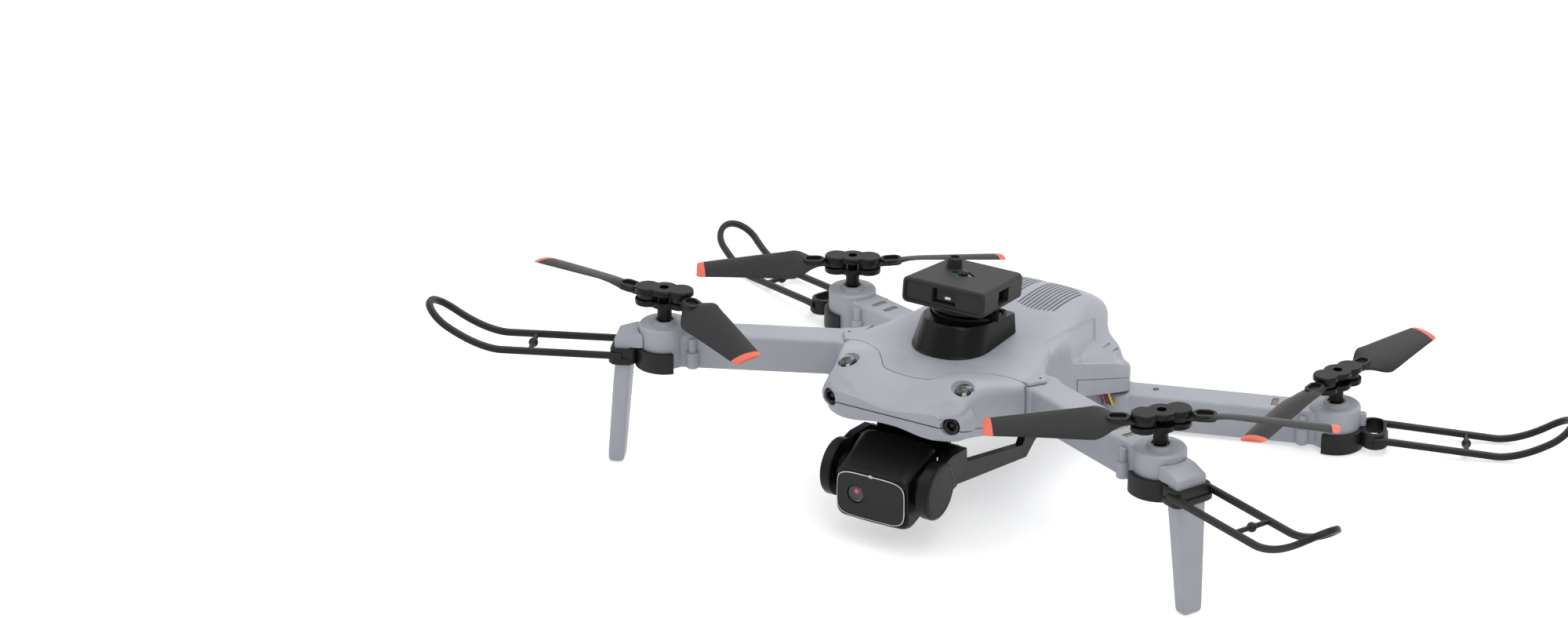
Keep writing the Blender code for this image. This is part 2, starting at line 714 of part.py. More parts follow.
BELLY_AT = (0.003, 0.015, 0.04, 0.09, 0.15, 0.19, 0.23, 0.28, share(FRONT_PIVOT_Y), 0.45, share(MID_Y),
            0.85, 1.0)
bottom_shell = finish("bottom_shell", loft([belly_ring(f) for f in BELLY_AT]), GREY, airframe, 40)
lower_bosses = tool(at_eyes(eye_boss), airframe, "lower_bosses")
cut_above = tool(slab(-SEAM - 0.0002, BODY_TOP + 0.03), airframe, "above_belly")
cut(lower_bosses, cut_above)
join(bottom_shell, lower_bosses)


def hinge_pads(grow=0.0):
    """Lobes under the eyes of the front arms."""
    z1 = FRONT_ARM_Z - GAP
    pads = []
    for s in (1, -1):
        out = arc(FRONT_PIVOT_X, FRONT_PIVOT_Y, EYE_R + grow, -100, 80, 10)
        out += [(BELLY_HALF - ROOT_IN, FRONT_PIVOT_Y + EYE_R + PAD_SPREAD + grow),
                (BELLY_HALF - ROOT_IN, FRONT_PIVOT_Y - EYE_R - PAD_SPREAD - grow)]
        pad = prism(out, z1 - PAD_T - grow, z1 + grow)
        pads.append(pad if s > 0 else mirrored(pad))
    return merged(*pads)


join(bottom_shell, tool(hinge_pads(), airframe, "hinge_pads"))
cut(top_shell, tool(hinge_pads(SEAM), airframe, "pad_clear"))
belly_room = tool(loft([belly_ring(f, SHELL_WALL, 0.004) for f in (0.40, 0.50, 0.60)]), airframe,
                  "belly_room")
cut(bottom_shell, belly_room, bay, eye_seats, pin_holes, rear_slots)
# Hinge pins
for side, x, y, z in pin_places():
    front = y < 0
    low = z + (-PIN_UNDER if front else PIN_SHORT)
    high = z + ARM_HEIGHT + (PIN_OVER if front else PIN_UP)
    name = ("front_" if front else "rear_") + ("left" if side > 0 else "right")
    finish("hinge_pin_" + name, moved(drum(PIN_R, low, high, 12), (x, y, 0)), STEEL, airframe)

# Headlamps and eye sensors
for side, name in ((1, "left"), (-1, "right")):
    lamp = empty("lamp_" + name, (LAMP_X * side, LAMP_Y, LAMP_Z), lamp_turn, airframe)
    finish("lamp_reflector_" + name, turned(
        [(0, -LAMP_DEEP + GAP), (LAMP_R, -LAMP_DEEP + GAP), (LAMP_R, -0.0014), (LAMP_R - 0.0005, -0.0014),
         (0.0012, -0.0030), (0, -0.0030)], 16), CHROME, lamp)
    dome = [(LAMP_R * math.cos(math.radians(a)), -0.0002 + 0.0021 * math.sin(math.radians(a)))
            for a in (25, 50, 75)]
    finish("headlamp_" + name, turned(
        [(0, -0.0011), (LAMP_R, -0.0011), (LAMP_R, -0.0002)] + dome + [(0, 0.0019)], 16), CLEAR, lamp)
    eye = empty("eye_" + name, (EYE_LENS_X * side, EYE_LENS_Y, NOSE_PART_Z), eye_turn(side), airframe)
    bead = [(0.45 * EYE_LENS_R * math.cos(math.radians(a)), -0.0006 + 0.0009 * math.sin(math.radians(a)))
            for a in (0, 35, 70)]
    finish("eye_sensor_" + name, turned(
        [(0, -EYE_DEEP + GAP), (EYE_LENS_R, -EYE_DEEP + GAP), (EYE_LENS_R, 0.0004),
         (EYE_LENS_R - 0.0006, 0.0009), (EYE_LENS_R - 0.0012, 0.0006), (EYE_LENS_R - 0.0015, -0.0006)]
        + bead + [(0, 0.0003)], 16), GLASS, eye)


# Sensor pedestal: round front, straight sides, flat back, drafted
def pedestal_ring(z, draft, lean=0.0):
    h, back = PEDESTAL_HALF - 0.7 * draft, PEDESTAL_HALF - 0.2 * draft
    corner = PEDESTAL_FOOT
    out = arc(0, PEDESTAL_FRONT_Y + 1.3 * draft, h, 180, 360, 16)
    out += [(back, PEDESTAL_BACK_Y - corner), (back - corner, PEDESTAL_BACK_Y),
            (-back + corner, PEDESTAL_BACK_Y), (-back, PEDESTAL_BACK_Y - corner)]
    return [(x, y, z + lean * (HEAD_AXIS_Y - y)) for x, y in out]


head_lean = Matrix.Rotation(-math.radians(HEAD_TILT), 3, "X")
head_dir = head_lean @ UP
seat_z = BODY_TOP - 0.004
lean = math.tan(math.radians(HEAD_TILT))
pedestal = finish("sensor_pedestal", loft(
    [pedestal_ring(seat_z, 0.0), pedestal_ring(BODY_TOP + 0.4 * PEDESTAL_FOOT, 0.0),
     pedestal_ring(BODY_TOP + PEDESTAL_FOOT, 0.25 * PEDESTAL_FOOT),
     pedestal_ring(PEDESTAL_TOP_Z - PEDESTAL_FOOT, PEDESTAL_DRAFT, lean),
     pedestal_ring(PEDESTAL_TOP_Z, PEDESTAL_DRAFT + 0.5 * PEDESTAL_FOOT, lean)]), BLACK, airframe)
under_hull = tool(loft([[(x, y, z + GAP) if z > part_z(y) + 0.004 else (x, y, z)
                         for x, y, z in hull_ring(f)] for f in HULL_AT]), airframe, "deck_clear")
cut(pedestal, under_hull)

head_base = Vector((0, HEAD_AXIS_Y, HEAD_BASE_Z))
head_frame = empty("head_axis", head_base, head_lean, airframe)
turn_pocket = tool(drum(TURNTABLE_R + RUN, -TURNTABLE_SEAT, 0.02, 28), head_frame, "turntable_pocket")
cut(pedestal, turn_pocket)
turntable = finish("head_turntable", turned(
    [(0, -TURNTABLE_SEAT + GAP), (TURNTABLE_R, -TURNTABLE_SEAT + GAP), (TURNTABLE_R, TURNTABLE_H - 0.0026),
     (TURNTABLE_R - 0.0010, TURNTABLE_H - 0.0022), (TURNTABLE_R - 0.0010, TURNTABLE_H - 0.0008),
     (TURNTABLE_R - 0.0018, TURNTABLE_H), (0, TURNTABLE_H)], 28), BLACK, head_frame)


def head_section(y, half, inset):
    """Upright section across the head case, with round corners."""
    out = rounded(-half + inset, half - inset, h0 + inset, h0 + HEAD_H - inset, HEAD_ROUND)
    return [(x, y, z) for x, z in out]


h0 = TURNTABLE_H + HEAD_POST_H
front_y = -HEAD_D / 2 - HEAD_FORWARD
back_y = HEAD_D / 2 - HEAD_FORWARD
head_case = finish("head_case", loft(
    [head_section(front_y, HEAD_W / 2, HEAD_EDGE), head_section(front_y + HEAD_EDGE, HEAD_W / 2, 0.0),
     head_section(back_y - HEAD_EDGE, HEAD_BACK_W / 2, 0.0),
     head_section(back_y, HEAD_BACK_W / 2, HEAD_EDGE)]), BLACK, head_frame)
join(head_case, tool(drum(HEAD_POST_R, TURNTABLE_H + GAP, h0 + 0.5 * HEAD_H, 20), head_frame, "head_post"))
join(head_case, tool(moved(drum(TUBE_R, -0.3 * HEAD_H, TUBE_H, 16, HEAD_EDGE), (*TUBE_AT, h0 + HEAD_H)),
                     head_frame, "head_tube"))
cut(head_case, tool(moved(drum(TUBE_R * 0.6, HEAD_EDGE, 2 * TUBE_H, 12), (*TUBE_AT, h0 + HEAD_H)), head_frame,
                    "tube_bore"))
panel_half = HEAD_W / 2 - HEAD_RIM
panel_edge = rounded(-panel_half, panel_half, h0 + HEAD_RIM, h0 + HEAD_H - HEAD_RIM, HEAD_ROUND - 0.5 * HEAD_RIM)
panel = tool(loft([[(x, y, z) for x, z in panel_edge] for y in (front_y - HEAD_D, front_y + HEAD_PANEL)]),
             head_frame, "front_panel")
cut(head_case, panel)
win_z0, win_z1 = h0 + (HEAD_H - WINDOW_H) / 2, h0 + (HEAD_H + WINDOW_H) / 2
side_x = (HEAD_W + HEAD_BACK_W) / 4
deep_y, deep_x = HEAD_D / 2 - WINDOW_DEEP, side_x - WINDOW_DEEP
windows = merged(box(-WINDOW_W / 2, WINDOW_W / 2, front_y - HEAD_D, -deep_y - HEAD_FORWARD, win_z0, win_z1),
                 box(-WINDOW_W / 2, WINDOW_W / 2, deep_y - HEAD_FORWARD, back_y + HEAD_D, win_z0, win_z1))
for s in (1, -1):
    outer = s * (deep_x + HEAD_W)
    side_window = box(min(s * deep_x, outer), max(s * deep_x, outer), -SIDE_WINDOW_W / 2 - HEAD_FORWARD,
                      SIDE_WINDOW_W / 2 - HEAD_FORWARD, win_z0, win_z1)
    windows = merged(windows, side_window)
cut(head_case, tool(windows, head_frame, "head_windows"))


def diamond(shrink, z0, z1):
    a, b = GEM_HALF[0] - shrink, GEM_HALF[1] - shrink
    return moved(prism([(-a, 0), (0, -b), (a, 0), (0, b)], z0, z1), (*GEM_AT, h0 + HEAD_H))


cut(head_case, tool(diamond(0.0, -GEM_DEEP, HEAD_H), head_frame, "gem_seat"))
head_indicator = finish("head_indicator", diamond(1.6 * GAP, -GEM_DEEP + GAP, -GAP), TEAL, head_frame)
bead = [(GEM_DOME_R * math.cos(math.radians(a)), GEM_DOME_R * math.sin(math.radians(a))) for a in (0, 30, 60)]
join(head_indicator, tool(moved(turned([(0, -0.5 * GEM_DEEP), (GEM_DOME_R, -0.5 * GEM_DEEP)] + bead
                                       + [(0, GEM_DOME_R)], 12), (*GEM_AT, h0 + HEAD_H)),
                          head_frame, "indicator_dome"))


# Camera bracket: mount plate under the chin, yoke discs and rear struts
def side_plate(profile, x0, x1):
    """Plate lying in the YZ plane between two X values."""
    return loft([[(x, y, z) for y, z in profile] for x in (x0, x1)])


disc_in = DISC_OUT - DISC_T
yoke_out = DISC_OUT - DISC_EDGE
strut_end = 0.0060
strut_start = strut_end - 0.0150
clear_y = CAM_AXIS_Y + math.hypot(CAM_BACK_Y - CAM_AXIS_Y, CAM_BACK_TOP_Z - CAM_AXIS_Z) + RUN
plate_end = clear_y + 0.0058
beam_end = clear_y + BEAM_T
strut = [(CAM_BACK_Y + 0.0020, CAM_AXIS_Z - 0.0040), (CAM_BACK_Y + 0.0540, 0.0072),
         (CAM_BACK_Y + 0.0600, 0.0110), (strut_end, belly_z(strut_end) - GAP), (MID_Y, belly_z(MID_Y) - GAP),
         (strut_start, belly_z(strut_start) - GAP), (CAM_BACK_Y + 0.0510, 0.0130),
         (CAM_BACK_Y + 0.0100, CAM_AXIS_Z + 0.0016), (beam_end - 0.0010, CAM_AXIS_Z + 0.0050),
         (CAM_BACK_Y, CAM_AXIS_Z - 0.0010)]
web = [(CAM_AXIS_Y + 0.0010, CAM_AXIS_Z - 0.0050), (CAM_BACK_Y + 0.0010, CAM_AXIS_Z - 0.0032),
       (beam_end + 0.0004, CAM_AXIS_Z + 0.0022), (beam_end, CAM_AXIS_Z + 0.0083),
       (CAM_BACK_Y - 0.0025, CAM_AXIS_Z + 0.0092), (CAM_AXIS_Y + 0.0020, CAM_AXIS_Z + 0.0078)]
block = [(CAM_AXIS_Y + TRUNNION_R + 2 * RUN, CAM_AXIS_Z - 0.0026), (CAM_BACK_Y + 0.0010, CAM_AXIS_Z - 0.0029),
         (beam_end - GAP, CAM_AXIS_Z + 0.0026), (beam_end - 2 * GAP, CAM_AXIS_Z + 0.0079),
         (CAM_BACK_Y - 0.0022, CAM_AXIS_Z + 0.0088)]
plate = [(clear_y, belly_z(clear_y) - GAP), (clear_y, belly_z(clear_y) - PLATE_T),
         (plate_end, belly_z(plate_end) - PLATE_T), (plate_end, belly_z(plate_end) - GAP)]
beam = [(clear_y, CAM_AXIS_Z + 0.0030), (beam_end, CAM_AXIS_Z + 0.0030),
        (beam_end, CAM_AXIS_Z + 0.0085), (clear_y, CAM_AXIS_Z + 0.0090)]
neck_end = beam_end - GAP
neck = [(clear_y, CAM_AXIS_Z + 0.0060), (neck_end, CAM_AXIS_Z + 0.0060),
        (neck_end, belly_z(neck_end) - 0.4 * PLATE_T), (clear_y, belly_z(clear_y) - 0.4 * PLATE_T)]
cam_turn = axis_turn((1, 0, 0))
camera_bracket = finish("camera_bracket", side_plate(plate, -DISC_OUT, DISC_OUT), BLACK, airframe)
join(camera_bracket, tool(side_plate(beam, -disc_in - GAP, disc_in + GAP), airframe, "yoke_beam"))
join(camera_bracket, tool(side_plate(neck, -CAM_HALF, CAM_HALF), airframe, "yoke_neck"))
for s in (1, -1):
    disc = moved(drum(DISC_R, 0.0, DISC_T, 24, DISC_EDGE), (0, 0, 0), cam_turn)
    if s < 0:
        disc = mirrored(disc)
    disc = moved(disc, (s * disc_in, CAM_AXIS_Y, CAM_AXIS_Z))
    for name, profile, inner, outer in (("yoke_web", web, disc_in, yoke_out),
                                        ("yoke_block", block, disc_in - BLOCK_IN, yoke_out - GAP),
                                        ("strut", strut, disc_in - 0.5 * STRUT_T, disc_in + 0.5 * STRUT_T)):
        bar = side_plate(profile, min(s * inner, s * outer), max(s * inner, s * outer))
        join(camera_bracket, tool(bar, airframe, name))
    join(camera_bracket, tool(disc, airframe, "yoke_disc"))

# Camera pod, tilting about the yoke
cam_frame = empty("camera_axis", (0, CAM_AXIS_Y, CAM_AXIS_Z), None, airframe)


def pod_ring(x, inset):
    face, back = CAM_FACE_Y - CAM_AXIS_Y + inset, CAM_BACK_Y - CAM_AXIS_Y - inset
    mid = CAM_FACE_Z - CAM_AXIS_Z
    low, high = mid - CAM_FACE_H / 2 + inset, mid + CAM_FACE_H / 2 - inset
    top = CAM_BACK_TOP_Z - CAM_AXIS_Z - inset
    out = [(face, low + 0.0012), (face, high - 0.0010), (face + 0.0012, high + 0.0008),
           (back - 0.0040, top), (back - 0.0012, top - 0.0004), (back, top - 0.0026), (back, low + 0.0040),
           (back - 0.0030, low - 0.0006), (face + 0.0018, low - 0.0012)]
    return [(x, y, z) for y, z in out]


camera_pod = finish("camera_pod", loft([pod_ring(-CAM_HALF, 0.0016), pod_ring(-CAM_HALF + 0.0006, 0.0005),
                                        pod_ring(-CAM_HALF + 0.0018, 0.0), pod_ring(CAM_HALF - 0.0018, 0.0),
                                        pod_ring(CAM_HALF - 0.0006, 0.0005), pod_ring(CAM_HALF, 0.0016)]),
                    BLACK, cam_frame)
face_mid = CAM_FACE_Z - CAM_AXIS_Z
face_y = CAM_FACE_Y - CAM_AXIS_Y
fw, fh = CAM_HALF - 0.0009, CAM_FACE_H / 2 - 0.0011


def face_slab(grow, y0, y1, r):
    out = rounded(-fw - grow, fw + grow, face_mid - fh - grow, face_mid + fh + grow, r)
    return loft([[(x, y, z) for x, z in out] for y in (y0, y1)])


trim_ring = finish("camera_trim", face_slab(0.0, face_y - 0.0003, face_y + 0.0009, 0.0030), CHROME, cam_frame)
cut(trim_ring, tool(face_slab(-TRIM_T, face_y - 0.01, face_y + 0.01, 0.0024), cam_frame, "trim_hole"))
cut(camera_pod, tool(face_slab(GAP, face_y - 0.01, face_y + 0.0009 + GAP, 0.0033), cam_frame, "face_seat"))
glass = finish("camera_glass", face_slab(-TRIM_T - GAP, face_y + 0.0001, face_y + 0.0009, 0.0021), GLASS,
               cam_frame)
lens_at = (-0.0057, face_y, face_mid + 0.0002)
lens_turn = axis_turn((0, -1, 0))
cut(glass, tool(moved(drum(CAM_LENS_R + GAP, -0.002, 0.01, 20), lens_at, lens_turn), cam_frame, "lens_hole"))
camera_lens = finish("camera_lens", moved(turned(
    [(0, -0.0009), (CAM_LENS_R, -0.0009), (CAM_LENS_R, -0.0002), (CAM_LENS_R - 0.0005, -0.0001),
     (CAM_LENS_R - 0.0008, -0.0004), (0, -0.0004)], 20), lens_at, lens_turn), GLASS, cam_frame)
for s in (1, -1):
    hub_end = disc_in - RUN
    stub = turned([(0, CAM_HALF - RUN), (TRUNNION_R, CAM_HALF - RUN), (TRUNNION_R, hub_end),
                   (TRUNNION_PIN_R, hub_end), (TRUNNION_PIN_R, disc_in + TRUNNION_PIN_L),
                   (0, disc_in + TRUNNION_PIN_L)], 20)
    socket = drum(TRUNNION_PIN_R + GAP, CAM_HALF, disc_in + TRUNNION_PIN_L + GAP, 20)
    stub, socket = moved(stub, (0, 0, 0), cam_turn), moved(socket, (0, 0, 0), cam_turn)
    if s < 0:
        stub, socket = mirrored(stub), mirrored(socket)
    join(camera_pod, tool(stub, cam_frame, "trunnion"))
    cut(camera_bracket, tool(socket, cam_frame, "trunnion_socket"))

# Battery with its latch, main board, power button
battery = finish("battery_pack", loft(
    [[(x, y, z) for x, z in rounded(-BATTERY_HALF + i, BATTERY_HALF - i, BATTERY_FLOOR_Z + i,
                                    BATTERY_TOP_Z - i, 0.003)]
     for y, i in ((BATTERY_FRONT_Y, 0.0008), (BATTERY_FRONT_Y + 0.0010, 0.0), (TAIL_Y - 0.0006, 0.0),
                  (TAIL_Y + 0.0004, 0.0010))]), GREY, airframe)
latch_z = BATTERY_TOP_Z - 0.0055
latch_seat = tool(box(-LATCH_W / 2 - RUN, LATCH_W / 2 + RUN, TAIL_Y - 0.0050, TAIL_Y + 0.01,
                      latch_z - LATCH_H / 2 - RUN, latch_z + LATCH_H / 2 + RUN), airframe, "latch_seat")
cut(battery, latch_seat)
latch = finish("battery_latch", loft(
    [[(x, y, z) for x, z in rounded(-LATCH_W / 2 + i, LATCH_W / 2 - i, latch_z - LATCH_H / 2 + i,
                                    latch_z + LATCH_H / 2 - i, 0.0012, 2)]
     for y, i in ((TAIL_Y - 0.0030, 0.0), (TAIL_Y + LATCH_OUT - 0.0004, 0.0),
                  (TAIL_Y + LATCH_OUT, 0.0004))]), BLACK, airframe)
board_half = BELLY_HALF - SHELL_WALL - 3 * RUN
main_board = finish("main_board", box(-board_half, board_half, FRONT_PIVOT_Y - EYE_R, FRONT_PIVOT_Y + BOARD_L,
                                      FRONT_ARM_Z, FRONT_ARM_Z + BOARD_T), GREEN, airframe)
button_z = BATTERY_FLOOR_Z + 0.0050
button_turn = axis_turn((0, 1, 0))
button_frame = empty("button_axis", (0, TAIL_Y, button_z), button_turn, airframe)
cut(battery, tool(drum(BUTTON_R + RUN, -0.0040, 0.01, 20), button_frame, "button_seat"))
finish("power_button", drum(BUTTON_R, -0.0025, BUTTON_OUT, 20, 0.0004), BLACK, button_frame)

# Arms


def arm_outline(half, eye, length):
    meet = math.degrees(math.asin(half / eye))
    return arc(0, 0, eye, meet, 360 - meet, 11) + [(length, -half), (length, half)]


def stadium(x0, x1, half, grow=0.0):
    return ([(x0 - grow, -half - grow)] + arc(x1, 0, half + grow, -90, 90, 8) + [(x0 - grow, half + grow)])


def build_arm(tag, side, front):
    length = FRONT_LEN if front else REAR_LEN
    angle = FRONT_ANGLE if front else REAR_ANGLE
    base = FRONT_ARM_Z if front else REAR_ARM_Z
    px, py = (FRONT_PIVOT_X, FRONT_PIVOT_Y) if front else (REAR_PIVOT_X, REAR_PIVOT_Y)
    heading = math.radians(angle if side > 0 else 180 - angle)
    frame = empty("hinge_" + tag, (px * side, py, base), Matrix.Rotation(heading, 3, "Z"), airframe)
    half = ARM_WIDTH / 2

    arm = finish("arm_" + tag, loft(
        [[(x, y, z) for x, y in arm_outline(half - i, EYE_R - i, length)]
         for z, i in ((0, 0), (ARM_HEIGHT - ARM_EDGE, 0), (ARM_HEIGHT, ARM_EDGE))]), GREY, frame)
    join(arm, tool(moved(turned(
        [(0, 0), (HOUSING_R, 0), (HOUSING_R, HOUSING_H - 2 * HOUSING_EDGE),
         (HOUSING_R - 0.35 * HOUSING_EDGE, HOUSING_H - 0.6 * HOUSING_EDGE),
         (HOUSING_R - 1.4 * HOUSING_EDGE, HOUSING_H), (COLLAR_R + 0.0002, HOUSING_H),
         (COLLAR_R, HOUSING_H + COLLAR_H), (0, HOUSING_H + COLLAR_H)], 24), (length, 0, 0)), frame,
        "housing"))
    bosses = []
    for s in (1, -1):
        at = (length - BOSS_BACK, s * (half + 0.0007), 0)
        bosses.append(moved(turned(
            [(0, 0.0004), (BOSS_R, 0.0004), (BOSS_R, BOSS_H), (BOSS_ROD_R, BOSS_H),
             (BOSS_ROD_R, ARM_HEIGHT - 0.0016), (0, ARM_HEIGHT - 0.0016)], 8), at))
    join(arm, tool(merged(*bosses), frame, "bosses"))
    turn = math.radians((-GUARD_SWEEP if front else GUARD_SWEEP)) - math.radians(angle)
    turn *= side
    if not front:
        rod = (length + (HOUSING_R + 0.0006) * math.cos(turn), (HOUSING_R + 0.0006) * math.sin(turn), 0)
        join(arm, tool(moved(drum(0.0015, CLIP_LOW + CLIP_H + GAP, ARM_HEIGHT - 0.0014, 12), rod), frame,
                       "stop_rod"))
    x0 = EYE_R + 0.0022
    cut(arm, tool(prism(stadium(x0, length, CHANNEL_HALF), -0.001, ARM_HEIGHT - ARM_ROOF), frame, "channel"))
    cut(arm, tool(moved(turned(
        [(0, -0.001), (CHANNEL_HALF, -0.001), (CHANNEL_HALF, HOUSING_H - MOTOR_ROOF),
         (STEM_HOLE_R, HOUSING_H - MOTOR_ROOF), (STEM_HOLE_R, HOUSING_H + 0.01), (0, HOUSING_H + 0.01)], 16),
        (length, 0, 0)), frame, "motor_pocket"))
    cut(arm, tool(drum(PIN_R + GAP, -0.002, ARM_HEIGHT + 0.002, 12), frame, "pin_bore"))
    cut(arm, tool(merged(*[box(length - d - LIGHT_SLOT_W / 2, length - d + LIGHT_SLOT_W / 2,
                               -LIGHT_SLOT_L / 2, LIGHT_SLOT_L / 2, ARM_HEIGHT - 0.0011, ARM_HEIGHT + 0.002)
                           for d in LIGHT_SLOT_AT]), frame, "light_slots"))
    finish("cover_" + tag, prism(stadium(x0, length, CHANNEL_HALF, -GAP), 0.0, COVER_T), GREY, frame)
    finish("motor_" + tag, moved(turned(
        [(0, COVER_T + GAP), (MOTOR_R, COVER_T + GAP), (MOTOR_R, HOUSING_H - MOTOR_ROOF - GAP),
         (SHAFT_R, HOUSING_H - MOTOR_ROOF - GAP), (SHAFT_R, HOUSING_H + HUB_LIFT - 0.0015),
         (0, HOUSING_H + HUB_LIFT - 0.0015)], 20), (length, 0, 0)), STEEL, frame)

    # Guard, clipped round the housing
    mount = empty("guard_frame_" + tag, (length, 0, 0), Matrix.Rotation(turn, 3, "Z"), frame)
    inner = HOUSING_R + GAP
    band = (arc(0, 0, inner, -CLIP_HALF_ANGLE, CLIP_HALF_ANGLE, 16)
            + arc(0, 0, inner + CLIP_T, CLIP_HALF_ANGLE, -CLIP_HALF_ANGLE, 16))
    guard = finish("guard_" + tag, prism(band, CLIP_LOW, CLIP_LOW + CLIP_H), BLACK, mount)
    wide = RAIL_GAUGE / 2 + 0.0002
    cup_z0 = CLIP_LOW + CLIP_H - CUP_H
    cup_z1 = CLIP_LOW + CLIP_H
    cup_edge = rounded(CUP_IN - CUP_WALL - 0.0006, CUP_OUT, -wide, wide, 0.0016)
    cup = tool(prism(cup_edge, cup_z0, cup_z1), mount, "cup")
    cut(cup, tool(drum(inner, -0.01, 0.03, 32), mount, "housing_clear"))
    rail_z = HOUSING_H - RAIL_DROP
    slope = 0.0 if front else REAR_RAIL_SLOPE
    reach = RAIL_TIP - RAIL_GAUGE / 2
    path = []
    plan = [(CUP_IN + 0.003 + (RAIL_RISE_FROM - CUP_IN - 0.003) * k, RAIL_GAUGE / 2) for k in range(2)]
    plan += [(RAIL_RISE_FROM + (reach - RAIL_RISE_FROM) * k / 3, RAIL_GAUGE / 2) for k in (1, 2)]
    plan += arc(reach, 0, RAIL_GAUGE / 2, 90, 0, 4)
    plan += [(x, -y) for x, y in plan[-2::-1]]
    for x, y in plan:
        s = max(0.0, (x - RAIL_RISE_FROM) / (RAIL_TIP - RAIL_RISE_FROM))
        fall = slope * max(0.0, x - CUP_OUT)
        path.append((x, y, rail_z - fall + RAIL_TIP_RISE * s ** 1.7))
    join(guard, cup, tool(sweep(path, RAIL_R), mount, "rails"))
    bar_z = rail_z - slope * (CROSSBAR_AT - CUP_OUT)
    bar = moved(drum(CROSSBAR_R, -RAIL_GAUGE / 2, RAIL_GAUGE / 2, 8), (CROSSBAR_AT, 0, bar_z),
                axis_turn((0, 1, 0)))
    join(guard, tool(bar, mount, "crossbar"))
    ball = [(0, -CROSSBAR_BALL_R)] + [(CROSSBAR_BALL_R * math.cos(math.radians(a)),
                                       CROSSBAR_BALL_R * math.sin(math.radians(a)))
                                      for a in (-60, -20, 20, 60)] + [(0, CROSSBAR_BALL_R)]
    join(guard, tool(moved(turned(ball, 8), (CROSSBAR_AT, 0, bar_z)), mount, "crossbar_ball"))
    hole = rounded(CUP_IN, CUP_OUT - CUP_WALL, -wide + CUP_WALL, wide - CUP_WALL, 0.0010)
    cut(guard, tool(prism(hole, cup_z0 - 0.001, cup_z1 + 0.001), mount, "cup_hole"))

    if front:
        lx0, lx1 = CUP_IN + GAP, CUP_OUT - CUP_WALL - GAP
        ly = wide - CUP_WALL - GAP
        mid = (lx0 + lx1) / 2
        thick = (lx1 - lx0) / 2
        rings = []
        for along in (0.0, 0.5, 1.0):
            z = -base + along * (base + cup_z0 - 0.0010)
            cx = LEG_FOOT_AT + (mid - LEG_FOOT_AT) * along
            hx = LEG_FOOT_T / 2 + (thick - LEG_FOOT_T / 2) * along
            hy = LEG_FOOT_W / 2 + (ly - LEG_FOOT_W / 2) * along
            rings.append([(x, y, z) for x, y in rounded(cx - hx, cx + hx, -hy, hy, 0.0012)])
        rings.append([(x, y, cup_z1 + GAP + 0.0010) for x, y in rounded(lx0, lx1, -ly, ly, 0.0010)])
        leg = finish("leg_" + tag, loft(rings), GREY, mount)
        zb, zt = cup_z1 + GAP, LEG_BLOCK_TOP
        prof = [(HOUSING_R - 0.002, zb), (lx1, zb), (lx1, zb + 0.0016), (lx1 - 0.0012, zb + 0.0022),
                (HOUSING_R + 0.0016, zt), (HOUSING_R - 0.002, zt)]
        rows = []
        for y, i in ((-ly, 0.0008), (-ly + 0.0008, 0.0), (ly - 0.0008, 0.0), (ly, 0.0008)):
            rows.append([(x - (i if x > HOUSING_R else 0), y, z - (i if z > zb + 0.002 else 0))
                         for x, z in prof])
        join(leg, tool(loft(rows), mount, "leg_block"))
        cut(leg, tool(drum(inner, -0.01, 0.03, 32), mount, "housing_clear"))
    return frame, length


def hub_outline(grow=0.0):
    """Three overlapping lobes in a row."""
    out = []
    for k in range(30):
        t = 2 * math.pi * k / 30
        far = 0.0
        for cx, r in ((-HUB_END_AT, HUB_END_R), (0.0, HUB_MID_R), (HUB_END_AT, HUB_END_R)):
            under = (r + grow) ** 2 - (cx * math.sin(t)) ** 2
            if under > 0:
                far = max(far, cx * math.cos(t) + math.sqrt(under))
        out.append((far * math.cos(t), far * math.sin(t)))
    return out


def blade_section(x, chord, thick, twist, sweep_y, hand, fall):
    pts = []
    camber = BLADE_CAMBER if chord > 0.5 * BLADE_CHORD else 0.0
    for k in range(8):
        t = 2 * math.pi * k / 8
        y = chord / 2 * math.cos(t)
        z = thick / 2 * math.sin(t) + camber * chord * (1 - (2 * y / chord) ** 2)
        c, s = math.cos(twist), math.sin(twist)
        pts.append((x, hand * (y * c - z * s + sweep_y), y * s + z * c - fall))
    return pts if hand > 0 else pts[::-1]


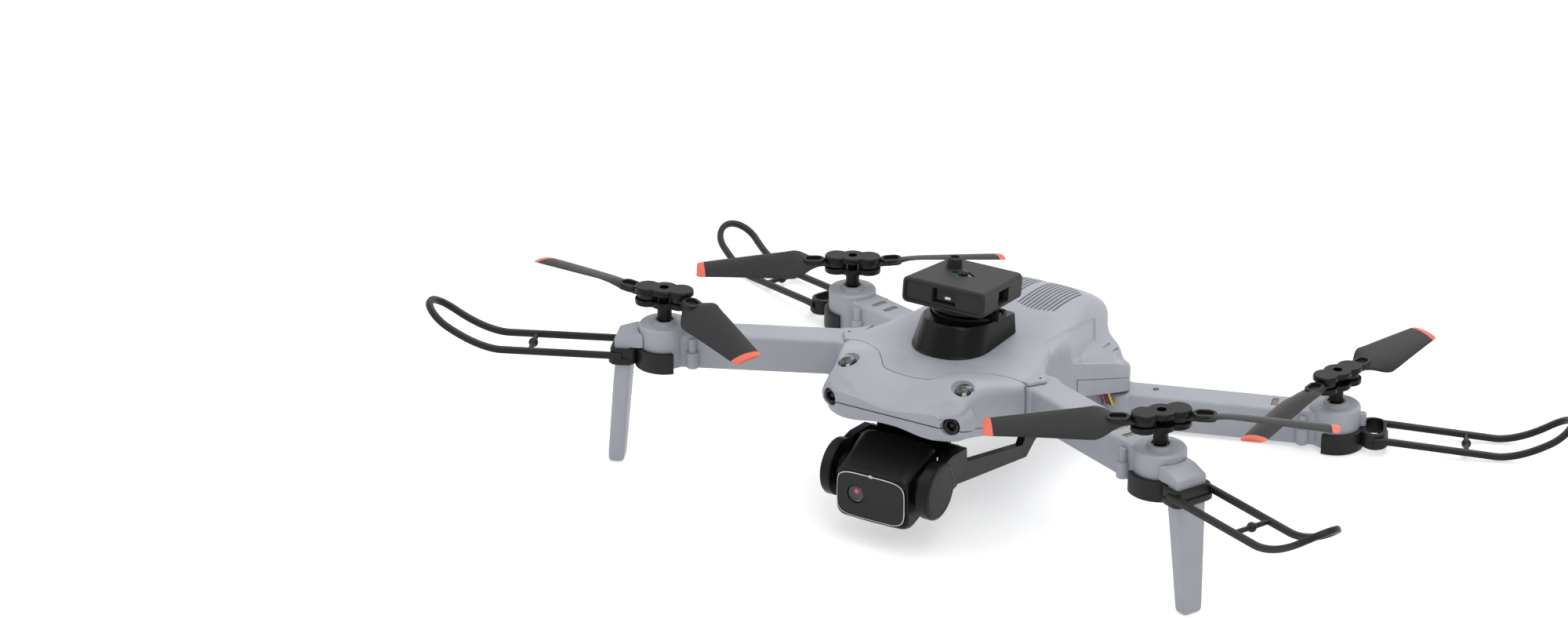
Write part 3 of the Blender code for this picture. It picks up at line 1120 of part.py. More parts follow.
def build_blade(name, hand, frame):
    span = BLADE_TIP_R - BLADE_PIN_AT
    root_t = HUB_SLOT - 2 * GAP
    rings = []
    for along in (0.03, 0.10, 0.16, 0.23, 0.32, 0.48, 0.68, 0.86, 0.96, 1.0):
        x = span * along
        if along < 0.32:
            chord = blend(BLADE_ROOT_CHORD, BLADE_CHORD, (along - 0.10) / 0.22)
            twist = blend(0.0, BLADE_TWIST, (along - 0.08) / 0.20)
        else:
            chord = BLADE_CHORD + (BLADE_TIP_CHORD - BLADE_CHORD) * (along - 0.32) / 0.68
            twist = BLADE_TWIST + (BLADE_TIP_TWIST - BLADE_TWIST) * (along - 0.32) / 0.68
        if along == 1.0:
            chord *= 0.86
        if along < 0.35:
            thick = blend(root_t, BLADE_MID_T, (along - 0.05) / 0.30)
        else:
            thick = BLADE_MID_T + (BLADE_TIP_T - BLADE_MID_T) * (along - 0.35) / 0.65
        lean = blend(0.0, BLADE_LEAN, (along - 0.1) / 0.3)
        fall = BLADE_DROOP * along ** 1.5
        rings.append(blade_section(x, chord, thick, math.radians(twist), -lean, hand, fall))
    blade = finish(name, loft(rings), DARK, frame, 50)
    join(blade, tool(drum(BLADE_EYE_R, -root_t / 2, root_t / 2, 14), frame, "blade_eye"))
    lx = HUB_END_R + 0.0012
    loop = tool(prism(rounded(lx, lx + BLADE_LOOP_L, -BLADE_LOOP_W / 2, BLADE_LOOP_W / 2, 0.0018, 2), -0.0004,
                      root_t / 2 + BLADE_LOOP_H), frame, "blade_loop")
    wall = BLADE_LOOP_WALL
    well_edge = rounded(lx + wall, lx + BLADE_LOOP_L - wall, -BLADE_LOOP_W / 2 + wall, BLADE_LOOP_W / 2 - wall,
                        0.0012, 1)
    well = tool(prism(well_edge, root_t / 2 - 0.0004, 0.01), frame, "loop_well")
    join(blade, loop)
    cut(blade, well)
    cut(blade, tool(drum(BLADE_PIN_R + GAP, -0.01, 0.01, 10), frame, "blade_bore"))
    return blade


def build_propeller(tag, arm_frame, length, heading, hand, rest, lag_a, lag_b):
    """rest is the hub's world angle, the lags are the folds of the two blades as photographed."""
    spin = empty("spin_" + tag, (length, 0, HOUSING_H + HUB_LIFT),
                 Matrix.Rotation(math.radians(rest) - heading, 3, "Z"), arm_frame)
    hub = finish("hub_" + tag, prism(hub_outline(), 0.0, HUB_PLATE), DARK, spin)
    join(hub, tool(turned(
        [(0, -HUB_LIFT - 0.0009), (NECK_R, -HUB_LIFT - 0.0009), (NECK_R, -HUB_LIFT + COLLAR_H - 0.0002),
         (STEM_R, -HUB_LIFT + COLLAR_H + 0.0006), (STEM_R, 0.0006), (0, 0.0006)], 14), spin, "stem"))
    posts = [moved(drum(BLADE_PIN_R, HUB_PLATE - 0.0004, HUB_PLATE + HUB_SLOT - GAP, 10),
                   (s * BLADE_PIN_AT, 0, 0)) for s in (1, -1)]
    posts.append(drum(HUB_HOLE_R + 0.0001, HUB_PLATE - 0.0004, HUB_PLATE + HUB_SLOT - GAP, 10))
    join(hub, tool(merged(*posts), spin, "posts"))
    cut(hub, tool(drum(SHAFT_R + GAP, -HUB_LIFT - 0.01, -0.0012, 8), spin, "shaft_bore"))
    cap = finish("hub_cap_" + tag, loft(
        [[(x, y, z) for x, y in hub_outline(-i)]
         for z, i in ((HUB_PLATE + HUB_SLOT, 0.0), (HUB_PLATE + HUB_SLOT + HUB_CAP - 0.0005, 0.0),
                      (HUB_PLATE + HUB_SLOT + HUB_CAP, 0.0005))]), DARK, spin)
    cut(cap, tool(drum(HUB_HOLE_R, HUB_PLATE + HUB_SLOT + 0.0005, 0.02, 14), spin, "cap_hole"))
    mid = HUB_PLATE + HUB_SLOT / 2
    for letter, turn, lag in (("a", 0.0, lag_a), ("b", 180.0, lag_b)):
        at = Matrix.Rotation(math.radians(turn), 3, "Z") @ Vector((BLADE_PIN_AT, 0, mid))
        fold = empty("fold_" + tag + "_" + letter, at, Matrix.Rotation(math.radians(turn + lag), 3, "Z"), spin)
        build_blade("blade_" + tag + "_" + letter, hand, fold)


# tag, side, front, blade hand, hub angle, and the folds of the two blades from the hub's long axis
PROPS = (("front_left", 1, True, -1, 49.1, -25.3, -20.0),
         ("front_right", -1, True, 1, 14.6, -44.5, -24.5),
         ("rear_left", 1, False, 1, 71.2, 13.3, 16.8),
         ("rear_right", -1, False, -1, 25.4, 17.6, 5.4))
for tag, side, front, hand, rest, lag_a, lag_b in PROPS:
    arm_frame, arm_len = build_arm(tag, side, front)
    arm_angle = FRONT_ANGLE if front else REAR_ANGLE
    arm_heading = math.radians(arm_angle if side > 0 else 180 - arm_angle)
    build_propeller(tag, arm_frame, arm_len, arm_heading, hand, rest, lag_a, lag_b)

# The origin lies on the ground under the middle of the outline
front_reach = (-FRONT_MOTOR_Y + (RAIL_TIP - RAIL_GAUGE / 2) * math.sin(math.radians(GUARD_SWEEP))
               + RAIL_GAUGE / 2 + RAIL_R)
rear_reach = REAR_MOTOR_Y + BLADE_TIP_R
airframe.location.y = (front_reach - rear_reach) / 2
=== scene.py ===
"""Looks of the folding quadcopter drone: finishes, fine mouldings, trim and the studio."""

import json
import math

import bpy
from mathutils import Matrix, Vector

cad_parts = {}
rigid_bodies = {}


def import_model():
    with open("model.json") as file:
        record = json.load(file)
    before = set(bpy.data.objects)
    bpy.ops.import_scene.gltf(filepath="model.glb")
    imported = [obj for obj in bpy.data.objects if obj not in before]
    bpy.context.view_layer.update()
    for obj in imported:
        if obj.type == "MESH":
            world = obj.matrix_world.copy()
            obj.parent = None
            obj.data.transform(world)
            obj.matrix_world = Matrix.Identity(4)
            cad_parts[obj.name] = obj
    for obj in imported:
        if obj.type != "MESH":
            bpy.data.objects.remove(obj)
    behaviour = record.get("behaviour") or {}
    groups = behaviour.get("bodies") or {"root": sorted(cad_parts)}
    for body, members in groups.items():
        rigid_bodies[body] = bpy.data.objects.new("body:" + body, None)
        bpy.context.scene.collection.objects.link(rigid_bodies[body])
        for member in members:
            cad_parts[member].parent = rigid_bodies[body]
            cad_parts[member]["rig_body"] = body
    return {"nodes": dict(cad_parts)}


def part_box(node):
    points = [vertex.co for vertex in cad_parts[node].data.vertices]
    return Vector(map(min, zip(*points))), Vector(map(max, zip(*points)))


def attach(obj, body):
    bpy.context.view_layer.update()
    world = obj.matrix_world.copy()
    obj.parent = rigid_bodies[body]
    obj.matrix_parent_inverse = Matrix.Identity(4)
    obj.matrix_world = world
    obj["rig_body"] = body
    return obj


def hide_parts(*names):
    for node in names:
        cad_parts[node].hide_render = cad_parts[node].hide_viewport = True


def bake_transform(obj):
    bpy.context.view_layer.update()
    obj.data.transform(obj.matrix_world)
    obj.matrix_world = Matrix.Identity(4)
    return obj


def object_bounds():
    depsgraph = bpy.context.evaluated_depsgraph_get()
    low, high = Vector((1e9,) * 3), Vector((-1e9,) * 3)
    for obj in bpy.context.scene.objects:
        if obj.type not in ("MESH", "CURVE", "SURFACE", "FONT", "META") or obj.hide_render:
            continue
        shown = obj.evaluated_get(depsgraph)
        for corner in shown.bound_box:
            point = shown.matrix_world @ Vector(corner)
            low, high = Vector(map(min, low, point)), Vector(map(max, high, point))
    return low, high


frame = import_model()
cad_low, cad_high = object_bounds()
TAGS = ("front_left", "front_right", "rear_left", "rear_right")
MM = 0.001
SAME_POINT = 0.000001   # points closer than this are one


# Finishes
def srgb(r, g, b):
    """Linear colour of an sRGB triple."""
    def line(v):
        v /= 255.0
        return v / 12.92 if v <= 0.04045 else ((v + 0.055) / 1.055) ** 2.4
    return (line(r), line(g), line(b), 1.0)


def finish(name, **sockets):
    """A Principled material with constant sockets, and its shader."""
    mat = bpy.data.materials.new(name)
    mat.use_nodes = True
    shader = mat.node_tree.nodes["Principled BSDF"]
    for socket, value in sockets.items():
        shader.inputs[socket.replace("_", " ")].default_value = value
    return mat, shader


def add(mat, kind, **values):
    node = mat.node_tree.nodes.new("ShaderNode" + kind)
    for key, value in values.items():
        if key in node.inputs:
            node.inputs[key].default_value = value
        else:
            setattr(node, key, value)
    return node


def wire(mat, out, into):
    mat.node_tree.links.new(out, into)


def grain(mat, shader, scale, depth, low, high, strength=0.25):
    """Moulded grain: a fine bump with roughness that wanders over the surface."""
    place = add(mat, "TexCoord")
    fine = add(mat, "TexNoise", Scale=scale, Detail=3.0, Roughness=0.6)
    wire(mat, place.outputs["Object"], fine.inputs["Vector"])
    bump = add(mat, "Bump", Strength=strength, Distance=depth)
    wire(mat, fine.outputs["Fac"], bump.inputs["Height"])
    wire(mat, bump.outputs["Normal"], shader.inputs["Normal"])
    broad = add(mat, "TexNoise", Scale=scale / 30, Detail=4.0)
    wire(mat, place.outputs["Object"], broad.inputs["Vector"])
    spread = add(mat, "MapRange")
    spread.inputs["To Min"].default_value = low
    spread.inputs["To Max"].default_value = high
    wire(mat, broad.outputs["Fac"], spread.inputs["Value"])
    wire(mat, spread.outputs["Result"], shader.inputs["Roughness"])
    return broad


def tinted(mat, shader, broad, dark, light, socket="Base Color"):
    """Colour that drifts between two close tones."""
    ramp = add(mat, "ValToRGB")
    ramp.color_ramp.elements[0].position = 0.35
    ramp.color_ramp.elements[0].color = dark
    ramp.color_ramp.elements[1].position = 0.65
    ramp.color_ramp.elements[1].color = light
    wire(mat, broad.outputs["Fac"], ramp.inputs["Fac"])
    wire(mat, ramp.outputs["Color"], shader.inputs[socket])


def moulded(name, dark, light, rough, scale=2600.0, depth=0.00005, specular=0.5, strength=0.25):
    mat, shader = finish(name, Specular_IOR_Level=specular)
    broad = grain(mat, shader, scale, depth, *rough, strength=strength)
    tinted(mat, shader, broad, dark, light)
    return mat


def polished(name, dark, light, rough, specular):
    """A moulded finish without grain to speak of."""
    return moulded(name, dark, light, rough, scale=700.0, depth=0.00001, specular=specular, strength=0.02)


def metal(name, dark, light, rough):
    mat, shader = finish(name, Metallic=1.0)
    broad = grain(mat, shader, 1800.0, 0.00002, *rough, strength=0.1)
    tinted(mat, shader, broad, dark, light)
    return mat


def clear_lens(name, dark, light, rough, ior=1.49):
    mat, shader = finish(name, Transmission_Weight=1.0, IOR=ior)
    broad = grain(mat, shader, 900.0, 0.00001, *rough, strength=0.03)
    tinted(mat, shader, broad, dark, light)
    return mat


def lit(name, dark, light, strength):
    mat, shader = finish(name, Emission_Strength=strength)
    broad = grain(mat, shader, 900.0, 0.00001, low=0.2, high=0.3, strength=0.05)
    tinted(mat, shader, broad, dark, light)
    tinted(mat, shader, broad, dark, light, "Emission Color")
    return mat


GREY_SHELL = moulded("grey_shell", srgb(164, 167, 174), srgb(169, 172, 179), (0.42, 0.50))
BLACK_SATIN = moulded("black_satin", srgb(10, 10, 11), srgb(14, 14, 15), (0.28, 0.38), specular=0.18)
BLACK_MATT = moulded("black_matt", srgb(38, 37, 38), srgb(44, 43, 44), (0.48, 0.58), specular=0.25)
BLADE_NYLON = moulded("blade_nylon", srgb(33, 32, 34), srgb(38, 37, 39), (0.42, 0.52), specular=0.2)
PEDESTAL_GLOSS = moulded("pedestal_gloss", srgb(9, 9, 10), srgb(13, 13, 14), (0.20, 0.28), specular=0.14)
TIP_ORANGE = moulded("tip_orange", srgb(226, 102, 76), srgb(232, 112, 86), (0.42, 0.52))
GUARD_NYLON = moulded("guard_nylon", srgb(22, 22, 23), srgb(27, 27, 28), (0.36, 0.46), specular=0.25)
SLOT_BROWN = moulded("slot_brown", srgb(112, 105, 100), srgb(124, 117, 111), (0.35, 0.45))
BARE_STEEL = metal("bare_steel", srgb(180, 180, 182), srgb(190, 190, 192), (0.22, 0.34))
DARK_STEEL = metal("dark_steel", srgb(66, 66, 70), srgb(78, 78, 82), (0.28, 0.40))
COIL_BROWN = metal("coil_brown", srgb(118, 84, 62), srgb(136, 98, 72), (0.35, 0.48))
# painted reflection: a dark grey non-metal colour stands in for the dark reflections of the chrome reflector
LAMP_BOWL_PAINTED_DARK = polished("lamp_bowl_painted_dark", srgb(34, 34, 38), srgb(52, 52, 56), (0.08, 0.16), 0.5)
TRIM_SILVER = metal("trim_silver", srgb(168, 164, 156), srgb(178, 174, 166), (0.18, 0.28))
LAMP_DOME = clear_lens("lamp_dome", srgb(176, 178, 182), srgb(186, 188, 192), (0.02, 0.05))
LAMP_LED = lit("lamp_led", srgb(250, 246, 226), srgb(255, 252, 240), 0.5)
WINDOW_LED = lit("window_led", srgb(214, 218, 224), srgb(236, 238, 242), 0.2)
FACE_GLASS = polished("face_glass", srgb(15, 13, 13), srgb(19, 17, 16), (0.05, 0.10), 0.3)
WINDOW_BLACK = polished("window_black", srgb(5, 5, 6), srgb(8, 8, 9), (0.12, 0.20), 0.25)
LENS_GLASS = polished("lens_glass", srgb(38, 42, 52), srgb(50, 54, 64), (0.06, 0.10), 0.5)
# painted reflection: a pink colour that stands in for the magenta glint of the lens coating
PAINTED_LENS_GLINT = polished("painted_lens_glint", srgb(196, 60, 96), srgb(222, 96, 132), (0.08, 0.14), 0.5)
TEAL_GEM = polished("teal_gem", srgb(24, 88, 92), srgb(34, 104, 106), (0.08, 0.14), 0.6)
BOARD_GREEN = moulded("board_green", srgb(26, 70, 48), srgb(32, 80, 56), (0.45, 0.60))
LEAD_YELLOW = moulded("lead_yellow", srgb(214, 176, 44), srgb(226, 190, 60), (0.38, 0.46))
LEAD_BLACK = moulded("lead_black", srgb(30, 30, 32), srgb(36, 36, 38), (0.38, 0.46))
LEAD_RED = moulded("lead_red", srgb(150, 34, 30), srgb(166, 44, 38), (0.38, 0.46))


# Modelling by hand
def alone(ob):
    """Only this object selected and active."""
    bpy.ops.object.select_all(action="DESELECT")
    ob.select_set(True)
    bpy.context.view_layer.objects.active = ob


def edit(ob):
    alone(ob)
    bpy.ops.object.mode_set(mode="EDIT")
    bpy.ops.mesh.select_all(action="SELECT")


def done():
    bpy.ops.object.mode_set(mode="OBJECT")


def apply_all(ob):
    alone(ob)
    for mod in list(ob.modifiers):
        bpy.ops.object.modifier_apply(modifier=mod.name)


def paint(ob, material):
    ob.data.materials.clear()
    ob.data.materials.append(material)


def cleaned(ob):
    """Merge points that coincide and drop faces of no area."""
    edit(ob)
    bpy.ops.mesh.remove_doubles(threshold=SAME_POINT)
    bpy.ops.mesh.dissolve_degenerate(threshold=SAME_POINT)
    done()
    return ob


def softened(ob, width, segments=2, angle=32.0):
    """Round the sharp edges and shade the rest smooth."""
    cleaned(ob)
    if width:
        bevel = ob.modifiers.new("soft_edges", "BEVEL")
        bevel.width = width
        bevel.segments = segments
        bevel.limit_method = "ANGLE"
        bevel.angle_limit = math.radians(angle)
        bevel.use_clamp_overlap = True
    apply_all(ob)
    cleaned(ob)
    bpy.ops.object.shade_smooth_by_angle(angle=math.radians(angle + 8))
    weight = ob.modifiers.new("flat_faces", "WEIGHTED_NORMAL")
    weight.keep_sharp = True
    apply_all(ob)
    return ob


def outwards(ob):
    edit(ob)
    bpy.ops.mesh.normals_make_consistent(inside=False)
    done()
    return ob


def skin(name, rings, closed=False):
    """Skin through rings of equal length. Open skins get flat ends."""
    count, last = len(rings[0]), len(rings) - 1
    faces = []
    for a in range(len(rings) if closed else last):
        b = (a + 1) % len(rings)
        for i in range(count):
            j = (i + 1) % count
            faces.append((a * count + i, a * count + j, b * count + j, b * count + i))
    if not closed:
        faces.append(tuple(range(count))[::-1])
        faces.append(tuple(last * count + i for i in range(count)))
    mesh = bpy.data.meshes.new(name)
    mesh.from_pydata([tuple(p) for ring in rings for p in ring], [], faces)
    ob = bpy.data.objects.new(name, mesh)
    bpy.context.scene.collection.objects.link(ob)
    return outwards(ob)


def prism(name, outline, levels):
    """Upright solid from an outline function of the inset, through (height, inset) levels."""
    return skin(name, [[(x, y, z) for x, y in outline(inset)] for z, inset in levels])


def turned(name, profile, sides=48):
    """Solid turned about Z: a disc that is extruded and resized through (radius, height) points."""
    radius, height = profile[0]
    bpy.ops.object.select_all(action="DESELECT")
    bpy.ops.mesh.primitive_circle_add(vertices=sides, radius=radius, fill_type="NGON", calc_uvs=False)
    ob = bpy.context.object
    ob.name = ob.data.name = name
    edit(ob)
    bpy.ops.transform.translate(value=(0, 0, height))
    for wide, high in profile[1:]:
        bpy.ops.mesh.extrude_region_move(TRANSFORM_OT_translate={"value": (0, 0, high - height)})
        bpy.ops.transform.resize(value=(wide / radius, wide / radius, 1.0), center_override=(0, 0, high))
        radius, height = wide, high
    done()
    return outwards(ob)


def bar(name, path, section):
    """A section of (across, up) points swept along a path."""
    path = [Vector(p) for p in path]
    rings, side = [], None
    for i, p in enumerate(path):
        ahead = (path[min(i + 1, len(path) - 1)] - path[max(i - 1, 0)]).normalized()
        side = side or Vector((0, 0, 1))
        side = (side - ahead * side.dot(ahead)).normalized()
        other = ahead.cross(side)
        rings.append([p + a * other + b * side for a, b in section])
    return skin(name, rings)


def brick(name, x0, x1, y0, y1, z0, z1):
    bpy.ops.object.select_all(action="DESELECT")
    bpy.ops.mesh.primitive_cube_add(size=1.0, calc_uvs=False)
    ob = bpy.context.object
    ob.name = ob.data.name = name
    size = Matrix.Diagonal((x1 - x0, y1 - y0, z1 - z0, 1))
    return placed(ob, at((x0 + x1) / 2, (y0 + y1) / 2, (z0 + z1) / 2) @ size)


def arc(cx, cy, r, a0, a1, n):
    return [(cx + r * math.cos(math.radians(a0 + (a1 - a0) * k / n)),
             cy + r * math.sin(math.radians(a0 + (a1 - a0) * k / n))) for k in range(n + 1)]


def rounded(x0, x1, y0, y1, r, n=6):
    """Rectangle outline with round corners, anticlockwise."""
    return (arc(x1 - r, y0 + r, r, -90, 0, n) + arc(x1 - r, y1 - r, r, 0, 90, n)
            + arc(x0 + r, y1 - r, r, 90, 180, n) + arc(x0 + r, y0 + r, r, 180, 270, n))


def dome(r, base, rise, angles):
    """Profile of a dome over a base height, at angles up from its foot."""
    return [(r * math.cos(math.radians(a)), base + rise * math.sin(math.radians(a))) for a in angles]


def soft_levels(low, high):
    """Levels of a plate whose upper and lower edges are rounded."""
    return ((low, 0.0004), (low + 0.0002, 0.0001), (low + 0.0005, 0.0),
            (high - 0.0005, 0.0), (high - 0.0002, 0.0001), (high, 0.0004))


def round_top(z0, z1, r, n=5):
    """Levels of a wall whose top edge is rounded."""
    return [(z0, 0.0)] + [(z1 - r + r * math.sin(math.pi / 2 * k / n), r - r * math.cos(math.pi / 2 * k / n))
                          for k in range(n + 1)]


def ring_of(r, n):
    return [(r * math.cos(2 * math.pi * k / n), r * math.sin(2 * math.pi * k / n)) for k in range(n)]


def placed(ob, matrix):
    ob.data.transform(matrix)
    if matrix.determinant() < 0:
        ob.data.flip_normals()
    return ob


def twin(ob, name):
    """A copy with its own mesh."""
    other = bpy.data.objects.new(name, ob.data.copy())
    bpy.context.scene.collection.objects.link(other)
    return other


def mirror_of(ob):
    return placed(twin(ob, ob.name + "_mirror"), Matrix.Diagonal((-1, 1, 1, 1)))


def carve(ob, operation, *tools):
    """Join, cut or keep with closed solids, which are used up."""
    for other in tools:
        mod = ob.modifiers.new("carve", "BOOLEAN")
        mod.operation = operation
        mod.solver = "MANIFOLD"
        mod.object = other
        apply_all(ob)
        bpy.data.objects.remove(other)
    return ob


def cut(ob, *tools):
    return carve(ob, "DIFFERENCE", *tools)


def join(ob, *tools):
    return carve(ob, "UNION", *tools)


def keep(ob, *tools):
    return carve(ob, "INTERSECT", *tools)


def both(ob):
    """A tool and its mirror image."""
    return [ob, mirror_of(ob)]


def axis_turn(direction):
    return Vector((0, 0, 1)).rotation_difference(Vector(direction)).to_matrix().to_4x4()


def at(x, y, z):
    return Matrix.Translation((x, y, z))


def turn_z(degrees):
    return Matrix.Rotation(math.radians(degrees), 4, "Z")


def body_of(node):
    return frame["nodes"][node]["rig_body"]


def stands_for(ob, node, material):
    """A finished piece that takes the place of a CAD solid."""
    paint(ob, material)
    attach(ob, body_of(node))
    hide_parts(node)
    return ob


def fitted(ob, body, material):
    """A finished piece of its own."""
    paint(ob, material)
    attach(ob, body)
    return ob


def moulding(node, material, width=0.0003, segments=2, angle=32.0):
    """A merged copy of a CAD solid with softened edges, which stands for it."""
    ob = bpy.data.objects.new(node + "_moulding", frame["nodes"][node].data.copy())
    bpy.context.scene.collection.objects.link(ob)
    edit(ob)
    bpy.ops.mesh.remove_doubles(threshold=0.000002)
    bpy.ops.mesh.dissolve_limited(angle_limit=math.radians(0.4))
    done()
    softened(ob, width, segments, angle)
    return stands_for(ob, node, material)


# Sizes of the part
GAP, RUN = 0.0003, 0.0005
NOSE_Y, TAIL_Y, STEP_Y = -0.0784, 0.0456, -0.0500
BODY_LEN = TAIL_Y - NOSE_Y
SHOULDER_HALF, WAIST_HALF, TAIL_HALF, DECK_TAIL_HALF, NOSE_HALF = 0.0362, 0.0305, 0.0302, 0.0200, 0.0240
BODY_TOP, LOBE_TOP, BROW_TOP, TAIL_TOP = 0.0540, 0.0578, 0.0502, 0.0450
TAIL_ROUND, VALLEY, SHELL_WALL, BELLY_HALF = 0.0056, 0.0044, 0.0020, 0.0215
NOSE_SEAM_Z, ARM_SEAM_Z, MID_SEAM_Z, TAIL_SEAM_Z = 0.0453, 0.0381, 0.0280, 0.0125
LEDGE_MID_Z, LEDGE_TAIL_Z, LEDGE_EDGE, LEDGE_RISE = 0.0406, 0.0234, 0.0008, 1.2
ARM_WIDTH, ARM_HEIGHT, EYE_R, PIN_R = 0.0121, 0.0123, 0.0070, 0.0014
HOUSING_R, HOUSING_H, HOUSING_EDGE, COLLAR_R, COLLAR_H = 0.0088, 0.0140, 0.0011, 0.0044, 0.0011
STEM_HOLE_R, CHANNEL_HALF = 0.00305, 0.00455
FRONT_ARM_Z, REAR_ARM_Z = 0.0387, 0.0015
FRONT_MOTOR, REAR_MOTOR = (0.0950, -0.0665), (0.0980, 0.0665)
FRONT_PIVOT, REAR_PIVOT = (0.0372, -0.0400), (0.0265, 0.0430)
FRONT_FOLD, REAR_FOLD = 35.0, 25.0
GUARD_SWEEP = 24.0
LAMP_AT, LAMP_R, LAMP_RIM_R, LAMP_DEEP, LAMP_TILT = (0.0223, -0.0664, 0.0552), 0.0029, 0.0045, 0.0042, 13.0
EYE_AT, EYE_LENS_R, EYE_DEEP, EYE_TURN = (0.0229, -0.0752, 0.0456), 0.0028, 0.0045, 4.0
HEAD_AT, HEAD_TILT = (0.0, -0.0255, 0.0610), 6.5
HEAD_LOW, HEAD_H = 0.0064, 0.0090
CAMERA_AT, CAMERA_FACE_Y, CAMERA_FACE_Z = (0.0, -0.0780, 0.0218), -0.0105, -0.0031

motor_low, motor_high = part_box("motor_front_left")
SHIFT = (motor_low.y + motor_high.y) / 2 - FRONT_MOTOR[1]
BODY_PLACE = at(0, SHIFT, 0)


def between(a, b, t):
    """Smooth step from one value to another."""
    t = max(0.0, min(1.0, t))
    return a + (b - a) * t * t * (3 - 2 * t)


# Body shell
WALL_STEPS, SLOPE_STEPS, DECK_STEPS = 14, 5, 50
PANEL_DEEP, PANEL_EDGE = 0.00050, 0.0004
PANEL_FRONT_Y, PANEL_TOP_Z, PANEL_REAR_Y = -0.0220, 0.0520, 0.0247
CREST_H, CREST_W, CREST_BACK = 0.00045, 0.0010, 0.0026
CREST_Y, CREST_STRAIGHT, CREST_SWEEP, CREST_END, CREST_FADE = -0.0772, 0.0110, 0.45, 0.021, 0.004
NOSE_ROUND, TAIL_EDGE = 0.0004, 0.0008
BAY_HALF, BAY_FRONT_Y, BAY_LOW, BAY_HIGH = 0.0150, -0.0025, 0.0205, 0.0385
BEYOND = 0.02   # how far a cutter reaches past the body

# Shares of the body's length, from the nose
BLUNT_F, SHOULDER_F, WAIST_F, TAPER_F, NARROW_F = 0.05, 0.30, 0.47, 0.85, 0.60
LOBE_F, DECK_F, FALL_F = 0.12, 0.27, 0.70


def seam_z(y):
    """Lower edge of the upper shell."""
    if y < STEP_Y:
        return NOSE_SEAM_Z + (ARM_SEAM_Z - NOSE_SEAM_Z) * (y - NOSE_Y) / (STEP_Y - NOSE_Y)
    if y < 0.0:
        return ARM_SEAM_Z + (MID_SEAM_Z - ARM_SEAM_Z) * (y - STEP_Y) / -STEP_Y
    return MID_SEAM_Z + (TAIL_SEAM_Z - MID_SEAM_Z) * y / TAIL_Y


def tail_corner(f):
    d = min((1.0 - f) * BODY_LEN, TAIL_ROUND)
    return TAIL_ROUND - math.sqrt(max(0.0, TAIL_ROUND ** 2 - (TAIL_ROUND - d) ** 2))


def half_width(f):
    if f < BLUNT_F:
        return between(NOSE_HALF * 0.78, NOSE_HALF * 1.10, math.sqrt(f / BLUNT_F))
    if f < SHOULDER_F:
        return between(NOSE_HALF * 1.10, SHOULDER_HALF, (f - BLUNT_F) / (SHOULDER_F - BLUNT_F))
    if f < WAIST_F:
        return between(SHOULDER_HALF, WAIST_HALF, (f - SHOULDER_F) / (WAIST_F - SHOULDER_F))
    return between(WAIST_HALF, TAIL_HALF, (f - TAPER_F) / (1 - TAPER_F)) - tail_corner(f)


def deck_half(f):
    if f < NARROW_F:
        return half_width(f)
    return WAIST_HALF + (DECK_TAIL_HALF - WAIST_HALF) * (f - NARROW_F) / (1 - NARROW_F) - tail_corner(f)


def crown(f):
    """Height of the body along its middle."""
    if f < LOBE_F:
        return between(BROW_TOP, LOBE_TOP, (f / LOBE_F) ** 0.75)
    if f < DECK_F:
        return between(LOBE_TOP, BODY_TOP, (f - LOBE_F) / (DECK_F - LOBE_F))
    if f < FALL_F:
        return BODY_TOP
    return BODY_TOP - (BODY_TOP - TAIL_TOP) * ((f - FALL_F) / (1 - FALL_F)) ** 3.5


def ledge_z(f, y):
    """Height of the ledge over the arms and hips."""
    front = FRONT_ARM_Z + 0.72 * ARM_HEIGHT
    rear = LEDGE_MID_Z + (LEDGE_TAIL_Z - LEDGE_MID_Z) * y / TAIL_Y
    return between(front, rear, (f - 0.42) / 0.20)


def smooth_line(knots, steps):
    """Points of a smooth line through knots, without the first knot."""
    ends = [knots[0]] + list(knots) + [knots[-1]]
    out = []
    for a, b, c, d in zip(ends, ends[1:], ends[2:], ends[3:]):
        for k in range(1, steps + 1):
            t = k / steps
            out.append(tuple(0.5 * (2 * q + (r - p) * t + (2 * p - 5 * q + 4 * r - s) * t * t
                                    + (3 * q - p - 3 * r + s) * t ** 3) for p, q, r, s in zip(a, b, c, d)))
    return out


def ledge_top(y):
    """Height above the hip's slope where the flank's panel starts."""
    f = (y - NOSE_Y) / BODY_LEN
    return ledge_z(f, y) + LEDGE_RISE * max(half_width(f) - deck_half(f), 0.0)


def panel_depth(y, z):
    """How far the flank panel lies in: a bowed front edge, a falling upper edge, an upright rear edge."""
    front = PANEL_FRONT_Y + 0.0100 * max(0.0, (z - 0.0500) / 0.0035) ** 2
    top = PANEL_TOP_Z - 0.135 * y - 2.9 * y * y
    block = 0.0008 + 0.0046 * between(0.0, 1.0, (z - 0.0365) / 0.0045)
    rear = (PANEL_REAR_Y if z > ledge_top(y) else block) - y
    share = between(0.0, 1.0, (y - front) / PANEL_EDGE) * between(0.0, 1.0, (top - z) / PANEL_EDGE)
    share *= between(0.0, 1.0, rear / (3 * PANEL_EDGE))
    return PANEL_DEEP * share * (1 + between(0.0, 0.8, (-0.0040 - y) / 0.010))


def crest(x, y):
    """Soft brow that runs across the nose and turns back towards the lobes."""
    line = CREST_Y + CREST_SWEEP * max(0.0, abs(x) - CREST_STRAIGHT)
    reach = CREST_W if y < line else CREST_BACK
    fade = between(1.0, 0.0, (abs(x) - CREST_END) / CREST_FADE)
    return CREST_H * math.exp(-((y - line) / reach) ** 2) * fade


